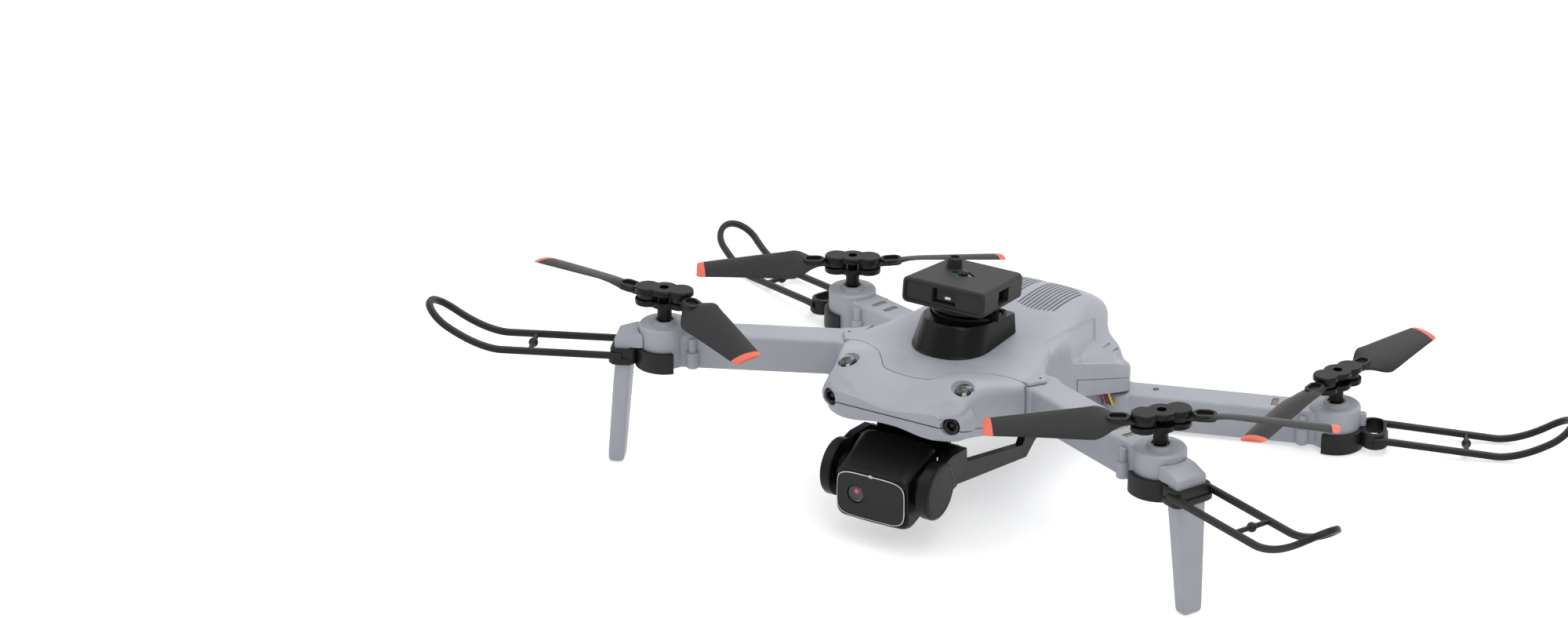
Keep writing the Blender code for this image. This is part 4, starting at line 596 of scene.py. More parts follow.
def shell_ring(y, inset=0.0):
    """Section of the body at one place along it."""
    f = (y - NOSE_Y) / BODY_LEN
    w, u = half_width(f) - inset, deck_half(f) - inset
    shelf = ledge_z(f, y)
    step = max(w - u, 0.0)
    soft = LEDGE_EDGE + between(0.0, 0.0034, (y - 0.0290) / 0.0120)
    edge = min(soft, 0.3 * step)
    turn = max(edge, 0.0004)
    rise = LEDGE_EDGE + LEDGE_RISE * step
    foot, top = shelf + rise, crown(f) - inset
    dip = VALLEY * between(0.74, 1.0, f / 0.09) * between(1.0, 0.0, (f - 0.12) / 0.12)
    wall_top = shelf - soft
    low = seam_z(y) + inset
    half = [(w, low + (wall_top - low) * k / WALL_STEPS) for k in range(WALL_STEPS + 1)]
    half += smooth_line([(w, wall_top), (w - 0.1 * edge, shelf - 0.35 * turn), (w - edge, shelf + 0.3 * turn),
                         (w - 0.50 * step, shelf + 0.42 * rise), (u + 0.13 * step, shelf + 0.72 * rise),
                         (u, foot)], SLOPE_STEPS)
    for k in range(1, DECK_STEPS + 1):
        t = math.pi / 2 * between(0.0, 1.0, k / DECK_STEPS)
        x = u * math.sqrt(math.cos(t)) if k < DECK_STEPS else 0.0
        z = foot + (top - foot) * math.sqrt(math.sin(t))
        half.append((x, z - dip * math.exp(-(x / (0.55 * NOSE_HALF)) ** 2) + crest(x, y)))
    sunk = []
    for k, (x, z) in enumerate(half):
        a, b = half[max(k - 1, 0)], half[min(k + 1, len(half) - 1)]
        run = math.hypot(b[0] - a[0], b[1] - a[1]) or 1.0
        deep = panel_depth(y, z) if k < len(half) - 1 else 0.0
        sunk.append((x - deep * (b[1] - a[1]) / run, z + deep * (b[0] - a[0]) / run))
    return [(x, y, z) for x, z in sunk] + [(-x, y, z) for x, z in sunk[-2::-1]]


def stations(*runs):
    """Places along the body: each run goes to an end in steps of about a length."""
    out = [NOSE_Y]
    for end, pace in runs:
        start = out[-1]
        n = max(1, round((end - start) / pace))
        out += [start + (end - start) * k / n for k in range(1, n + 1)]
    return out


def hull(name):
    """The whole upper body as a closed solid, finer where its form turns quickly."""
    along = stations((-0.0766, 0.2 * MM), (-0.0660, 0.5 * MM), (-0.0240, 1.0 * MM), (-0.0110, 0.35 * MM),
                     (-0.0004, 1.0 * MM), (0.0064, 0.3 * MM), (0.0225, 1.0 * MM), (0.0270, 0.3 * MM),
                     (0.0396, 0.9 * MM), (TAIL_Y - TAIL_EDGE, 0.35 * MM))
    rings = []
    for k in range(5):
        a = math.pi / 2 * k / 5
        rings.append([(x, NOSE_Y + NOSE_ROUND * (1 - math.cos(a)), z)
                      for x, y, z in shell_ring(NOSE_Y + NOSE_ROUND, NOSE_ROUND * (1 - math.sin(a)))])
    rings += [shell_ring(y) for y in along if y > NOSE_Y + NOSE_ROUND]
    for k in (1, 2, 3):
        a = math.pi / 2 * k / 3
        rings.append([(x, TAIL_Y - TAIL_EDGE + TAIL_EDGE * math.sin(a), z)
                      for x, y, z in shell_ring(TAIL_Y - TAIL_EDGE, TAIL_EDGE * (1 - math.cos(a)))])
    return skin(name, rings)


def cavity():
    """Room inside the shell."""
    rings = []
    for f in (0.06, 0.13, 0.24, 0.40, 0.68, 0.86, 0.95):
        y = NOSE_Y + f * BODY_LEN
        top = crown(f) - SHELL_WALL
        w = min(BELLY_HALF, half_width(f), deck_half(f)) - SHELL_WALL
        dip = VALLEY if f < 0.2 else 0.0
        half = [(w, seam_z(y) - BEYOND), (w, top - 0.007), (0.75 * w, top - 0.0035 - 0.5 * dip),
                (0.3 * w, top - 0.0015 - dip)]
        rings.append([(x, y, z) for x, z in half] + [(-x, y, z) for x, z in half[::-1]])
    return skin("cavity", rings)


def nose_region(grow):
    """Plan of the nose cover: its rear edge swings behind the headlamps and dips forward between them."""
    line = [(0.0560, -0.0458), (0.0350, -0.0460), (0.0312, -0.0464), (0.0268, -0.0475), (0.0232, -0.0496),
            (0.0188, -0.0532), (0.0150, -0.0574), (0.0118, -0.0616), (0.0098, -0.0640), (0.0080, -0.0646),
            (0.0040, -0.0640), (0.0, -0.0637)]
    right = [(line[0][0], NOSE_Y - BEYOND), line[0]] + smooth_line(line, 6)
    outline = [(x, y + (grow if y > NOSE_Y else 0.0)) for x, y in right]
    outline += [(-x, y) for x, y in outline[-2::-1]]
    return prism("nose_region", lambda i: outline, ((0.0, 0), (0.1, 0)))


def fan(pivot, start, fold, z0, z1):
    """Space that a folding arm sweeps, on the left side."""
    half, reach, end = EYE_R + RUN, 0.05, start + fold

    def corner(a, b):
        return (half * math.cos(math.radians(a)) + reach * math.cos(math.radians(b)),
                half * math.sin(math.radians(a)) + reach * math.sin(math.radians(b)))
    out = arc(0, 0, half, start - 90, start - 90, 1)[:1] + [corner(start - 90, start)]
    out += arc(0, 0, reach * 1.1, start + 12, end - 12, 6) + [corner(end + 90, end)]
    out += arc(0, 0, half, end + 90, start + 270, 28)[:-1]
    return placed(prism("arm_fan", lambda i: out, ((z0, 0), (z1, 0))), at(pivot[0], pivot[1], 0))


def heading(pivot, motor):
    return math.degrees(math.atan2(motor[1] - pivot[1], motor[0] - pivot[0]))


FRONT_ANGLE, REAR_ANGLE = heading(FRONT_PIVOT, FRONT_MOTOR), heading(REAR_PIVOT, REAR_MOTOR)


def front_slots():
    return both(fan(FRONT_PIVOT, FRONT_ANGLE, FRONT_FOLD, FRONT_ARM_Z - GAP, FRONT_ARM_Z + ARM_HEIGHT + GAP))


def rear_slots():
    return both(fan(REAR_PIVOT, REAR_ANGLE - REAR_FOLD, REAR_FOLD, -0.001, REAR_ARM_Z + ARM_HEIGHT + GAP))


def pin_holes(pivot, rise):
    hole = turned("pin_hole", [(PIN_R + GAP, 0.0), (PIN_R + GAP, rise)], 24)
    return both(placed(hole, at(*pivot, 0)))


def battery_bay():
    return brick("bay", -BAY_HALF, BAY_HALF, BAY_FRONT_Y, TAIL_Y + BEYOND, BAY_LOW, BAY_HIGH)


def above_seam(lift):
    """Room above the line where the upper and lower shells meet."""
    ends = (NOSE_Y - BEYOND, TAIL_Y + BEYOND)
    outline = [(y, seam_z(y) + lift) for y in (ends[0], STEP_Y, 0.0, ends[1])]
    outline += [(ends[1], 0.09), (ends[0], 0.09)]
    return skin("above_seam", [[(x, y, z) for y, z in outline] for x in (-0.07, 0.07)])


def lamp_place():
    lean = math.radians(LAMP_TILT)
    return at(*LAMP_AT) @ axis_turn((0, -math.sin(lean), math.cos(lean)))


def eye_place():
    a = math.radians(EYE_TURN)
    return at(*EYE_AT) @ axis_turn((math.sin(a), -math.cos(a), 0))


def eye_boss():
    """Flared collar moulded round an eye sensor."""
    return turned("eye_boss", [(EYE_LENS_R + out, z) for out, z in (
        (0.0034, -EYE_DEEP - 0.0012), (0.0030, -0.0036), (0.0024, -0.0020), (0.0019, -0.0009),
        (0.0016, -0.0003), (0.0013, 0.0001), (0.0009, 0.0003), (0.0005, 0.0003))], 64)


def eye_seats():
    seat = turned("eye_seat", [(EYE_LENS_R + GAP, -EYE_DEEP), (EYE_LENS_R + GAP, BEYOND)], 48)
    return both(placed(seat, eye_place()))


def ear():
    """Pointed ear of the shell over the eye of a front arm."""
    root, base = SHOULDER_HALF - 0.0032, FRONT_ARM_Z + ARM_HEIGHT - GAP
    px, py = FRONT_PIVOT

    def outline(i):
        return (arc(px, py, 0.0021 - i, -58, 58, 24)
                + [(root, py + 0.0098 - i), (root, py - 0.0098 + i)])
    return prism("ear", outline, round_top(base, base + 0.0017, 0.0010))


def arm_pads(name, grow, low, high, steps):
    """Pads that carry the front arms, or the room for them."""
    px, py = FRONT_PIVOT
    root, spread = BELLY_HALF - 0.006, EYE_R + 0.0040 + grow
    out = arc(px, py, EYE_R + grow, -100, 80, steps) + [(root, py + spread), (root, py - spread)]
    return both(prism(name, lambda i: out, ((low, 0), (high, 0))))


def groove(points, outward, width, deep):
    """A cutter along a line on the shell, from its depth to well outside."""
    outward = Vector(outward).normalized()
    section = [(-width / 2, -deep), (width / 2, -deep), (width / 2, 0.003), (-width / 2, 0.003)]
    rings = []
    points = [Vector(p) for p in points]
    for i, p in enumerate(points):
        ahead = (points[min(i + 1, len(points) - 1)] - points[max(i - 1, 0)]).normalized()
        across = ahead.cross(outward).normalized()
        rings.append([p + a * across + b * outward for a, b in section])
    return skin("groove", rings)


def deck_z(x, y):
    """Height of the deck."""
    f = (y - NOSE_Y) / BODY_LEN
    w, u = half_width(f), deck_half(f)
    foot = ledge_z(f, y) + LEDGE_EDGE + LEDGE_RISE * max(w - u, 0.0)
    return foot + (crown(f) - foot) * max(0.0, 1 - (x / u) ** 4) ** 0.25


def grille_slits():
    """Two leaf-shaped groups of fine slits along the rear deck, either side of a plain spine."""
    parts = []
    for k in range(10):
        share = k / 9
        x = 0.0022 + 0.0015 * k
        start, end = 0.0085 - 0.0022 * math.sin(math.pi * share), 0.0362 - 0.0062 * share ** 2.5
        line = [(x, y, deck_z(x, y)) for y in [start + (end - start) * n / 14 for n in range(15)]]
        parts += both(groove(line, (0, 0, 1), 0.00078, 0.0008))
    return parts


def flank_point(y, rise):
    """Point of the hip's slope at a share of its height."""
    f = (y - NOSE_Y) / BODY_LEN
    shelf = ledge_z(f, y)
    z = shelf + rise * (LEDGE_EDGE + LEDGE_RISE * max(half_width(f) - deck_half(f), 0.0))
    ring = shell_ring(y)
    for a, b in zip(ring[WALL_STEPS:], ring[WALL_STEPS + 1:]):
        if a[2] <= z <= b[2]:
            return (a[0] + (b[0] - a[0]) * (z - a[2]) / (b[2] - a[2]), y, z)


def flank_lines():
    """Panel line under the ledge, its upright gap, the two hip slits and the ear dimple."""
    line = [(0.0305, y, 0.0343 - 0.000368 * (y / MM)) for y in (0.0002, 0.010, 0.020, 0.030, 0.0392)]
    tools = [groove(line, (1, 0, 0), 0.00035, 0.0004)]
    tools.append(brick("gap", 0.0293, 0.033, 0.0001, 0.0006, 0.0288, 0.0346))
    for first, last in (((0.0270, 0.53), (0.0352, 0.57)), ((0.0330, 0.34), (0.0392, 0.38))):
        ends = [flank_point(*first), flank_point(*last)]
        tools.append(groove(ends, (0.70, 0.2, 0.68), 0.0008, 0.0005))
    px, py = FRONT_PIVOT
    tools.append(placed(turned("dimple", [(0.00055, -0.0006), (0.00055, 0.004)], 20),
                        at(px - 0.0002, py, FRONT_ARM_Z + ARM_HEIGHT + 0.0014)))
    return [piece for ob in tools for piece in both(ob)]


top = hull("top_shell_fine")
join(top, *both(ear()))
cut(top, nose_region(1.3 * GAP), cavity(), *front_slots())
cut(top, *rear_slots())
cut(top, *pin_holes(FRONT_PIVOT, FRONT_ARM_Z + ARM_HEIGHT + 0.0011))
cut(top, *pin_holes(REAR_PIVOT, REAR_ARM_Z + 0.0166))
cut(top, battery_bay())
cut(top, *arm_pads("pad_room", GAP, FRONT_ARM_Z - 0.0038, FRONT_ARM_Z, 24))
cut(top, *grille_slits())
cut(top, *flank_lines())
softened(placed(top, BODY_PLACE), 0.0, angle=24.0)
stands_for(top, "top_shell", GREY_SHELL)

nose = hull("nose_cover_fine")
keep(nose, nose_region(0.0))
join(nose, *both(placed(eye_boss(), eye_place())))
keep(nose, above_seam(-0.0001))
cut(nose, cavity(), *front_slots())
lamp_seat = turned("lamp_seat", [
    (LAMP_R + GAP, -LAMP_DEEP), (LAMP_R + GAP, -0.0007), (LAMP_R + 0.0006, -0.0006),
    (LAMP_R + 0.0009, -0.0002), (LAMP_RIM_R - 0.0004, 0.0006), (LAMP_RIM_R, 0.0012),
    (LAMP_RIM_R + 0.0024, 0.0060)], 56)
cut(nose, *both(placed(lamp_seat, lamp_place())))
cut(nose, *eye_seats())
softened(placed(nose, BODY_PLACE), 0.0, angle=24.0)
stands_for(nose, "nose_cover", GREY_SHELL)


# Lower shell: chin, wedge belly and the pads under the front arms
CHIN_ARCH = 0.0016
CHIN_LEN = 0.0120


def belly_z(y):
    """Height of the belly's underside."""
    for (y0, z0), (y1, z1) in (((NOSE_Y, 0.0402), (-0.0400, 0.0340)), ((-0.0400, 0.0340), (0.0, 0.0172)),
                               ((0.0, 0.0172), (TAIL_Y, 0.0040))):
        if y <= y1:
            break
    return z0 + (z1 - z0) * (y - y0) / (y1 - y0)


def belly_ring(y, inset=0.0, lift=0.0):
    """Section of the lower shell at one place along it."""
    f = (y - NOSE_Y) / BODY_LEN
    w = between(half_width(f) - 0.0006, BELLY_HALF, (f - 0.16) / 0.14) - inset
    high, low = seam_z(y) - GAP - 0.0001 + lift, belly_z(y) + inset
    r = min(0.004, 0.35 * w, 0.45 * (high - low))
    half = [(w, high)] + [(w, low + r + (high - low - r) * k / 4) for k in (3, 2, 1)]
    half += [(w - r + r * math.cos(math.radians(a)), low + r - r * math.sin(math.radians(a)))
             for a in range(0, 91, 10)]
    arch = CHIN_ARCH * between(1.0, 0.0, (y - NOSE_Y) / CHIN_LEN)
    for k in range(1, 9):
        x = (w - r) * (1 - k / 8)
        half.append((x, low + arch * between(1.0, 0.0, (x - 0.002) / 0.013)))
    return [(x, y, z) for x, z in half] + [(-x, y, z) for x, z in half[-2::-1]]


belly_along = stations((-0.0775, 0.3 * MM), (-0.0640, 0.8 * MM), (-0.0400, 1.0 * MM), (0.0, 1.6 * MM),
                       (TAIL_Y, 1.9 * MM))
belly_along[0] = NOSE_Y + 0.0003
belly = skin("bottom_shell_fine", [belly_ring(y) for y in belly_along])
for boss in both(placed(eye_boss(), eye_place())):
    join(belly, cut(boss, above_seam(-0.0005)))
join(belly, *arm_pads("pad", 0.0, FRONT_ARM_Z - 0.0035, FRONT_ARM_Z - GAP, 30))
belly_room = [belly_ring(NOSE_Y + f * BODY_LEN, SHELL_WALL, 0.004) for f in (0.40, 0.50, 0.60)]
cut(belly, skin("belly_room", belly_room))
cut(belly, battery_bay())
cut(belly, *eye_seats())
cut(belly, *rear_slots())
for pivot in (FRONT_PIVOT, REAR_PIVOT):
    cut(belly, *pin_holes(pivot, 0.0600))
softened(placed(belly, BODY_PLACE), 0.0002, 2, 40.0)
stands_for(belly, "bottom_shell", GREY_SHELL)

# Headlamps and eye sensors
LAMP_FOOT, LAMP_RISE, LAMP_WALL = -0.0002, 0.0014, 0.0004
for side, name in ((1, "left"), (-1, "right")):
    mirror = Matrix.Diagonal((side, 1, 1, 1))
    place = BODY_PLACE @ mirror @ lamp_place()
    # The reflector is painted dark grey, standing in for the dark reflections of its chrome
    bowl = turned("lamp_reflector_" + name + "_fine", [
        (LAMP_R, -LAMP_DEEP + GAP), (LAMP_R, -0.0014), (LAMP_R - 0.0003, -0.0014), (LAMP_R - 0.0007, -0.0019),
        (0.0018, -0.0025), (0.0013, -0.0029), (0.0013, -0.0027), (0.0011, -0.0027)], 40)
    stands_for(softened(placed(bowl, place), 0.0), "lamp_reflector_" + name, LAMP_BOWL_PAINTED_DARK)
    chip = turned("lamp_led_" + name, [(0.0008, -0.00265), (0.0008, -0.0022), (0.0006, -0.0019),
                                       (0.0003, -0.0017)], 24)
    fitted(softened(placed(chip, place), 0.0), "airframe", LAMP_LED)
    glass = turned("headlamp_" + name + "_fine", [(LAMP_R, -0.0011), (LAMP_R, LAMP_FOOT)]
                   + dome(LAMP_R, LAMP_FOOT, LAMP_RISE, range(8, 89, 8)), 48)
    hollow = LAMP_R - LAMP_WALL
    cut(glass, turned("dome_hollow", [(hollow, -0.0020), (hollow, LAMP_FOOT)]
                      + dome(hollow, LAMP_FOOT, LAMP_RISE - LAMP_WALL, range(8, 89, 8)), 48))
    stands_for(softened(placed(glass, place), 0.0), "headlamp_" + name, LAMP_DOME)
    place = BODY_PLACE @ mirror @ eye_place()
    bead = dome(1.2 * MM, -0.0006, 0.0009, range(0, 86, 12))
    cup = turned("eye_sensor_" + name + "_fine", [
        (EYE_LENS_R, -EYE_DEEP + GAP), (EYE_LENS_R, 0.0004), (EYE_LENS_R - 0.0002, 0.0007),
        (EYE_LENS_R - 0.0005, 0.0009), (EYE_LENS_R - 0.0009, 0.0008), (EYE_LENS_R - 0.0012, 0.0005),
        (EYE_LENS_R - 0.0014, -0.0006)] + bead, 48)
    stands_for(softened(placed(cup, place), 0.0), "eye_sensor_" + name, FACE_GLASS)

# Sensor head: window inserts, a lamp behind the front one, lug of the turntable
HEAD_PLACE = BODY_PLACE @ at(*HEAD_AT) @ Matrix.Rotation(-math.radians(HEAD_TILT), 4, "X")
moulding("head_case", BLACK_MATT, 0.0004, 3)
moulding("head_turntable", BLACK_SATIN, 0.0003)
WINDOW_LOW, WINDOW_HIGH, WINDOW_BEVEL = HEAD_LOW + 0.0021, HEAD_LOW + 0.0069, 0.0003


def window(name, half, face, behind, place):
    """Dark insert in a window of the head, with a bevelled front edge."""
    def outline(i):
        return rounded(-half + i, half - i, WINDOW_LOW + i, WINDOW_HIGH - i, 0.0006)
    levels = ((behind, 0.0), (face + WINDOW_BEVEL, 0.0), (face, WINDOW_BEVEL))
    pane = placed(skin(name, [[(x, y, z) for x, z in outline(i)] for y, i in levels]), place)
    fitted(softened(placed(pane, HEAD_PLACE), 0.0), "head", WINDOW_BLACK)


window("window_front", 0.0044, -0.0147, -0.0134, at(0, 0, 0))
window("window_back", 0.0044, -0.0112, -0.0092, turn_z(180))
for side, name in ((1, "left"), (-1, "right")):
    window("window_" + name, 0.0039, -0.0130, -0.0113, at(0, -0.0022, 0) @ turn_z(90 * side))
led = prism("window_lamp", lambda i: rounded(-0.0010 + i, 0.0010 - i, -0.0004 + i, 0.0004 - i, 0.00015),
            ((0.0, 0.0), (0.0006, 0.0), (0.0008, 0.0001)))
placed(led, at(0.0008, -0.0146, HEAD_LOW + 0.0039) @ axis_turn((0, -1, 0)))
fitted(softened(placed(led, HEAD_PLACE), 0.0), "head", WINDOW_LED)
lug = prism("turntable_lug", lambda i: rounded(0.0100, 0.0142 - i, -0.0032 + i, 0.0032 - i, 0.0006),
            round_top(0.0018, 0.0048, 0.0005))
cut(lug, brick("notch", 0.0126, 0.0150, -0.0007, 0.0007, 0.0036, 0.0060))
bead = turned("indicator_bead", dome(0.0017, 0.0, 0.0015, range(-20, 86, 9)), 36)
bead_place = HEAD_PLACE @ at(-0.0007, -0.0021, HEAD_LOW + HEAD_H + 0.0001)
fitted(softened(placed(bead, bead_place), 0.0), "head", FACE_GLASS)
fitted(softened(placed(lug, HEAD_PLACE), 0.0002), "head", BLACK_SATIN)

# Camera
CAMERA_PLACE = BODY_PLACE @ at(*CAMERA_AT)
FACE_HALF, FACE_TALL, FACE_BOW, FACE_POINTS = 0.0130, 0.0081, 0.40, 96


def face_outline(shrink):
    """Soft rectangle with bowed sides."""
    half, tall = FACE_HALF - shrink, FACE_TALL - shrink
    out = []
    for k in range(FACE_POINTS):
        t = 2 * math.pi * (k + 0.5) / FACE_POINTS
        c, s = math.cos(t), math.sin(t)
        out.append((half * math.copysign(abs(c) ** FACE_BOW, c),
                    CAMERA_FACE_Z + tall * math.copysign(abs(s) ** FACE_BOW, s)))
    return out


def face_plate(name, levels):
    """Plate in the camera's face, through (depth, inset) levels from back to front."""
    return skin(name, [[(x, CAMERA_FACE_Y + y, z) for x, z in face_outline(i)] for y, i in levels])


def filleted(points, radii, n=5):
    """Outline with each corner rounded."""
    out = []
    for k, corner in enumerate(points):
        here, before, after = Vector(corner), Vector(points[k - 1]), Vector(points[(k + 1) % len(points)])
        a, b = (before - here).normalized(), (after - here).normalized()
        half = math.acos(max(-1.0, min(1.0, a.dot(b)))) / 2
        back = min(radii[k] / math.tan(half), 0.45 * (before - here).length, 0.45 * (after - here).length)
        r = back * math.tan(half)
        mid = here + (a + b).normalized() * (r / math.sin(half))
        start, end = here + a * back - mid, here + b * back - mid
        turn = start.angle_signed(end)
        for m in range(n + 1):
            c, s = math.cos(turn * m / n), math.sin(turn * m / n)
            out.append((mid.x + start.x * c + start.y * s, mid.y - start.x * s + start.y * c))
    return out


POD_HALF, POD_FACE_H, POD_BACK, POD_BACK_TOP = 0.0138, 0.0178, 0.0115, 0.0120
POD_SIDE_ROUND = 0.0036
DISC_IN, TRUNNION_R, TRUNNION_PIN_R = 0.0166, 0.0062, 0.0030
LENS_X, LENS_RISE, LENS_HOLE_R = -0.0057, 0.0002, 0.0033


def pod_section(inset):
    """Side view of the camera pod: upright face, top that rises to the back, tucked-under belly."""
    low, high = CAMERA_FACE_Z - POD_FACE_H / 2 + inset, CAMERA_FACE_Z + POD_FACE_H / 2 - inset
    face, back, top = CAMERA_FACE_Y + 0.6 * inset, POD_BACK - inset, POD_BACK_TOP - inset
    corners = [(face, low + 0.0004), (face, high), (back - 0.0030, top + 0.0002), (back, top - 0.0022),
               (back, low + 0.0030), (face + 0.0030, low - 0.0013)]
    return filleted(corners, (0.0022, 0.0016, 0.0030, 0.0024, 0.0036, 0.0050))


def pod_rings():
    """Sections of the pod from side to side, drawn in at both ends."""
    spots = [(-POD_HALF + POD_SIDE_ROUND * (1 - math.cos(math.pi / 2 * k / 8)),
              0.0024 * (1 - math.sin(math.pi / 2 * k / 8))) for k in range(9)]
    spots += [(0.0, -0.0002)] + [(-x, i) for x, i in spots[::-1]]
    return [[(x, y, z) for y, z in pod_section(i)] for x, i in spots]


pod = skin("camera_pod_fine", pod_rings())
cut(pod, face_plate("face_seat", ((0.0012, -0.0002), (-0.004, -0.0002))))
for side in (1, -1):
    stub = turned("trunnion", [(TRUNNION_R, POD_HALF - 0.0010), (TRUNNION_R, DISC_IN - RUN),
                               (TRUNNION_PIN_R, DISC_IN - RUN), (TRUNNION_PIN_R, DISC_IN + 0.0010)], 40)
    join(pod, placed(stub, Matrix.Diagonal((side, 1, 1, 1)) @ axis_turn((1, 0, 0))))
stands_for(softened(placed(pod, CAMERA_PLACE), 0.0, angle=34.0), "camera_pod", BLACK_SATIN)
trim = face_plate("camera_trim_fine", ((0.0009, 0.0), (-0.0002, 0.0), (-0.0003, 0.0001)))
cut(trim, face_plate("trim_hole", ((0.002, 0.00030), (-0.002, 0.00030))))
stands_for(softened(placed(trim, CAMERA_PLACE), 0.0), "camera_trim", TRIM_SILVER)
pane = face_plate("camera_glass_fine", ((0.0009, 0.00034), (0.0000, 0.00034), (-0.0001, 0.00046)))
lens_seat = at(LENS_X, CAMERA_FACE_Y, CAMERA_FACE_Z + LENS_RISE) @ axis_turn((0, -1, 0))
cut(pane, placed(turned("lens_hole", [(LENS_HOLE_R, -0.004), (LENS_HOLE_R, 0.004)], 48), lens_seat))
stands_for(softened(placed(pane, CAMERA_PLACE), 0.0), "camera_glass", FACE_GLASS)
lens_place = CAMERA_PLACE @ lens_seat
barrel = turned("camera_lens_fine", [
    (0.0030, -0.0009), (0.0030, -0.0002), (0.0029, -0.0001), (0.0026, -0.0001), (0.0024, -0.0003),
    (0.0020, -0.0005), (0.0008, -0.0006)], 48)
stands_for(softened(placed(barrel, lens_place), 0.0), "camera_lens", LENS_GLASS)
# Painted reflection: a pink disc raised above the lens centre, where the coating's magenta glint shows
glint_disc = turned("painted_glint_disc", [(0.0010, -0.00062), (0.0009, -0.0004), (0.0006, -0.0003),
                                  (0.0002, -0.00026)], 36)
fitted(softened(placed(glint_disc, lens_place @ at(0.0, 0.0008, 0)), 0.0), "camera", PAINTED_LENS_GLINT)
tab = prism("trim_tab", lambda i: rounded(-0.0008 + i, 0.0008 - i, -0.0004 + i, 0.0006 - i, 0.0003),
            ((0.0, 0.0), (0.0003, 0.0), (0.0004, 0.0001)))
placed(tab, CAMERA_PLACE @ at(0, CAMERA_FACE_Y - 0.0001, CAMERA_FACE_Z + 0.0079) @ axis_turn((0, -1, 0)))
fitted(softened(tab, 0.0), "camera", TRIM_SILVER)
moulding("camera_bracket", BLACK_SATIN, 0.0004, 2)
for side, name in ((1, "left"), (-1, "right")):
    disc = turned("yoke_disc_" + name, [
        (0.0090, 0.01665), (0.00985, 0.0169), (0.00988, 0.0198), (0.0096, 0.0203), (0.0090, 0.02065),
        (0.0084, 0.0207), (0.0083, 0.0204), (0.0080, 0.0204), (0.0079, 0.0207), (0.0020, 0.0208)], 72)
    cut(disc, turned("disc_bore", [(0.0064, 0.0), (0.0064, 0.0200)], 48))
    placed(disc, CAMERA_PLACE @ Matrix.Diagonal((side, 1, 1, 1)) @ axis_turn((1, 0, 0)))
    fitted(softened(disc, 0.0), "airframe", BLACK_SATIN)

# Arms, guards and legs, with the collars, light strips and screws on them
GUARD_INNER, GUARD_WALL = HOUSING_R + GAP, 0.0014
GUARD_LOW, GUARD_HIGH = HOUSING_H - 0.0155, HOUSING_H - 0.0080
CUP_IN, CUP_OUT, CUP_WALL, CUP_HALF = 0.0109, 0.0182, 0.0012, 0.0076
RAIL_HALF, RAIL_GAUGE, RISE_FROM, RAIL_TIP = 0.00115, 0.0148, 0.0560, 0.0820
RAIL_LIFT, REAR_RAIL_FALL, CROSSBAR_AT = 0.0134, 0.09, 0.0460
CUP_Z0 = GUARD_HIGH - 0.0055
LIP = 0.0006   # how far a cup's flange stands out
LIGHT_AT = (0.0150, 0.0212)   # light slots, back from the motor
FOOT_X, FOOT_HALF_X, FOOT_HALF_Y = 0.0172, 0.00265, 0.00375
LEG_STATIONS = (0.0, 0.004, 0.010, 0.02, 0.04, 0.10, 0.2, 0.3, 0.4, 0.5, 0.6, 0.7, 0.8, 0.9, 1.0)
FOOT_ROUND = (0.0011, 0.0006, 0.0003, 0.0001, 0.0)   # inset of the first stations


def fine_arm(name, length, front, turn):
    """Arm along X from its pin's eye to the motor housing."""
    half = ARM_WIDTH / 2

    def outline(i):
        inner = math.degrees(math.asin((half - i) / (EYE_R - i)))
        return (arc(0, 0, EYE_R - i, max(inner, 1.0), 360 - max(inner, 1.0), 40)
                + [(length, -half + i), (length, half - i)])
    arm = prism(name, outline, round_top(0.0, ARM_HEIGHT, 0.0012))
    edge = arc(HOUSING_R - HOUSING_EDGE, HOUSING_H - HOUSING_EDGE, HOUSING_EDGE, 0, 90, 6)
    tower = turned("housing", [(HOUSING_R, 0.0)] + edge + [
        (COLLAR_R + 0.0003, HOUSING_H), (COLLAR_R, HOUSING_H + 0.0003),
        (COLLAR_R, HOUSING_H + COLLAR_H - 0.0002), (COLLAR_R - 0.0002, HOUSING_H + COLLAR_H)], 72)
    join(arm, placed(tower, at(length, 0, 0)))
    for s in (1, -1):
        boss = turned("boss", [(0.0019, 0.0004), (0.0021, 0.0006), (0.0021, 0.0060), (0.0019, 0.0062),
                               (0.0013, 0.0062), (0.0013, ARM_HEIGHT - 0.0016)], 28)
        join(arm, placed(boss, at(length - 0.0105, s * (half + 0.0007), 0)))
    if not front:
        rod = turned("stop_rod", [(0.0015, GUARD_HIGH + GAP), (0.0015, ARM_HEIGHT - 0.0016),
                                  (0.0013, ARM_HEIGHT - 0.0014)], 24)
        far = HOUSING_R + 0.0006
        join(arm, placed(rod, at(length + far * math.cos(turn), far * math.sin(turn), 0)))
    start = EYE_R + 0.0022
    channel = [(start, -CHANNEL_HALF)] + arc(length, 0, CHANNEL_HALF, -90, 90, 24) + [(start, CHANNEL_HALF)]
    cut(arm, prism("channel", lambda i: channel, ((-0.001, 0), (ARM_HEIGHT - 0.0018, 0))))
    cut(arm, placed(turned("motor_pocket", [
        (CHANNEL_HALF, -0.001), (CHANNEL_HALF, HOUSING_H - 0.0017), (STEM_HOLE_R, HOUSING_H - 0.0017),
        (STEM_HOLE_R, HOUSING_H + COLLAR_H - 0.0003), (STEM_HOLE_R + 0.0004, HOUSING_H + 0.01)], 48),
        at(length, 0, 0)))
    cut(arm, turned("pin_bore", [(PIN_R + GAP, -0.002), (PIN_R + GAP, ARM_HEIGHT + 0.002)], 28))
    for d in LIGHT_AT:
        slot = prism("light_slot", lambda i: rounded(-0.0012, 0.0012, -0.0031, 0.0031, 0.0005),
                     ((ARM_HEIGHT - 0.0011, 0), (ARM_HEIGHT + 0.002, 0)))
        cut(arm, placed(slot, at(length - d, 0, 0)))
    return arm


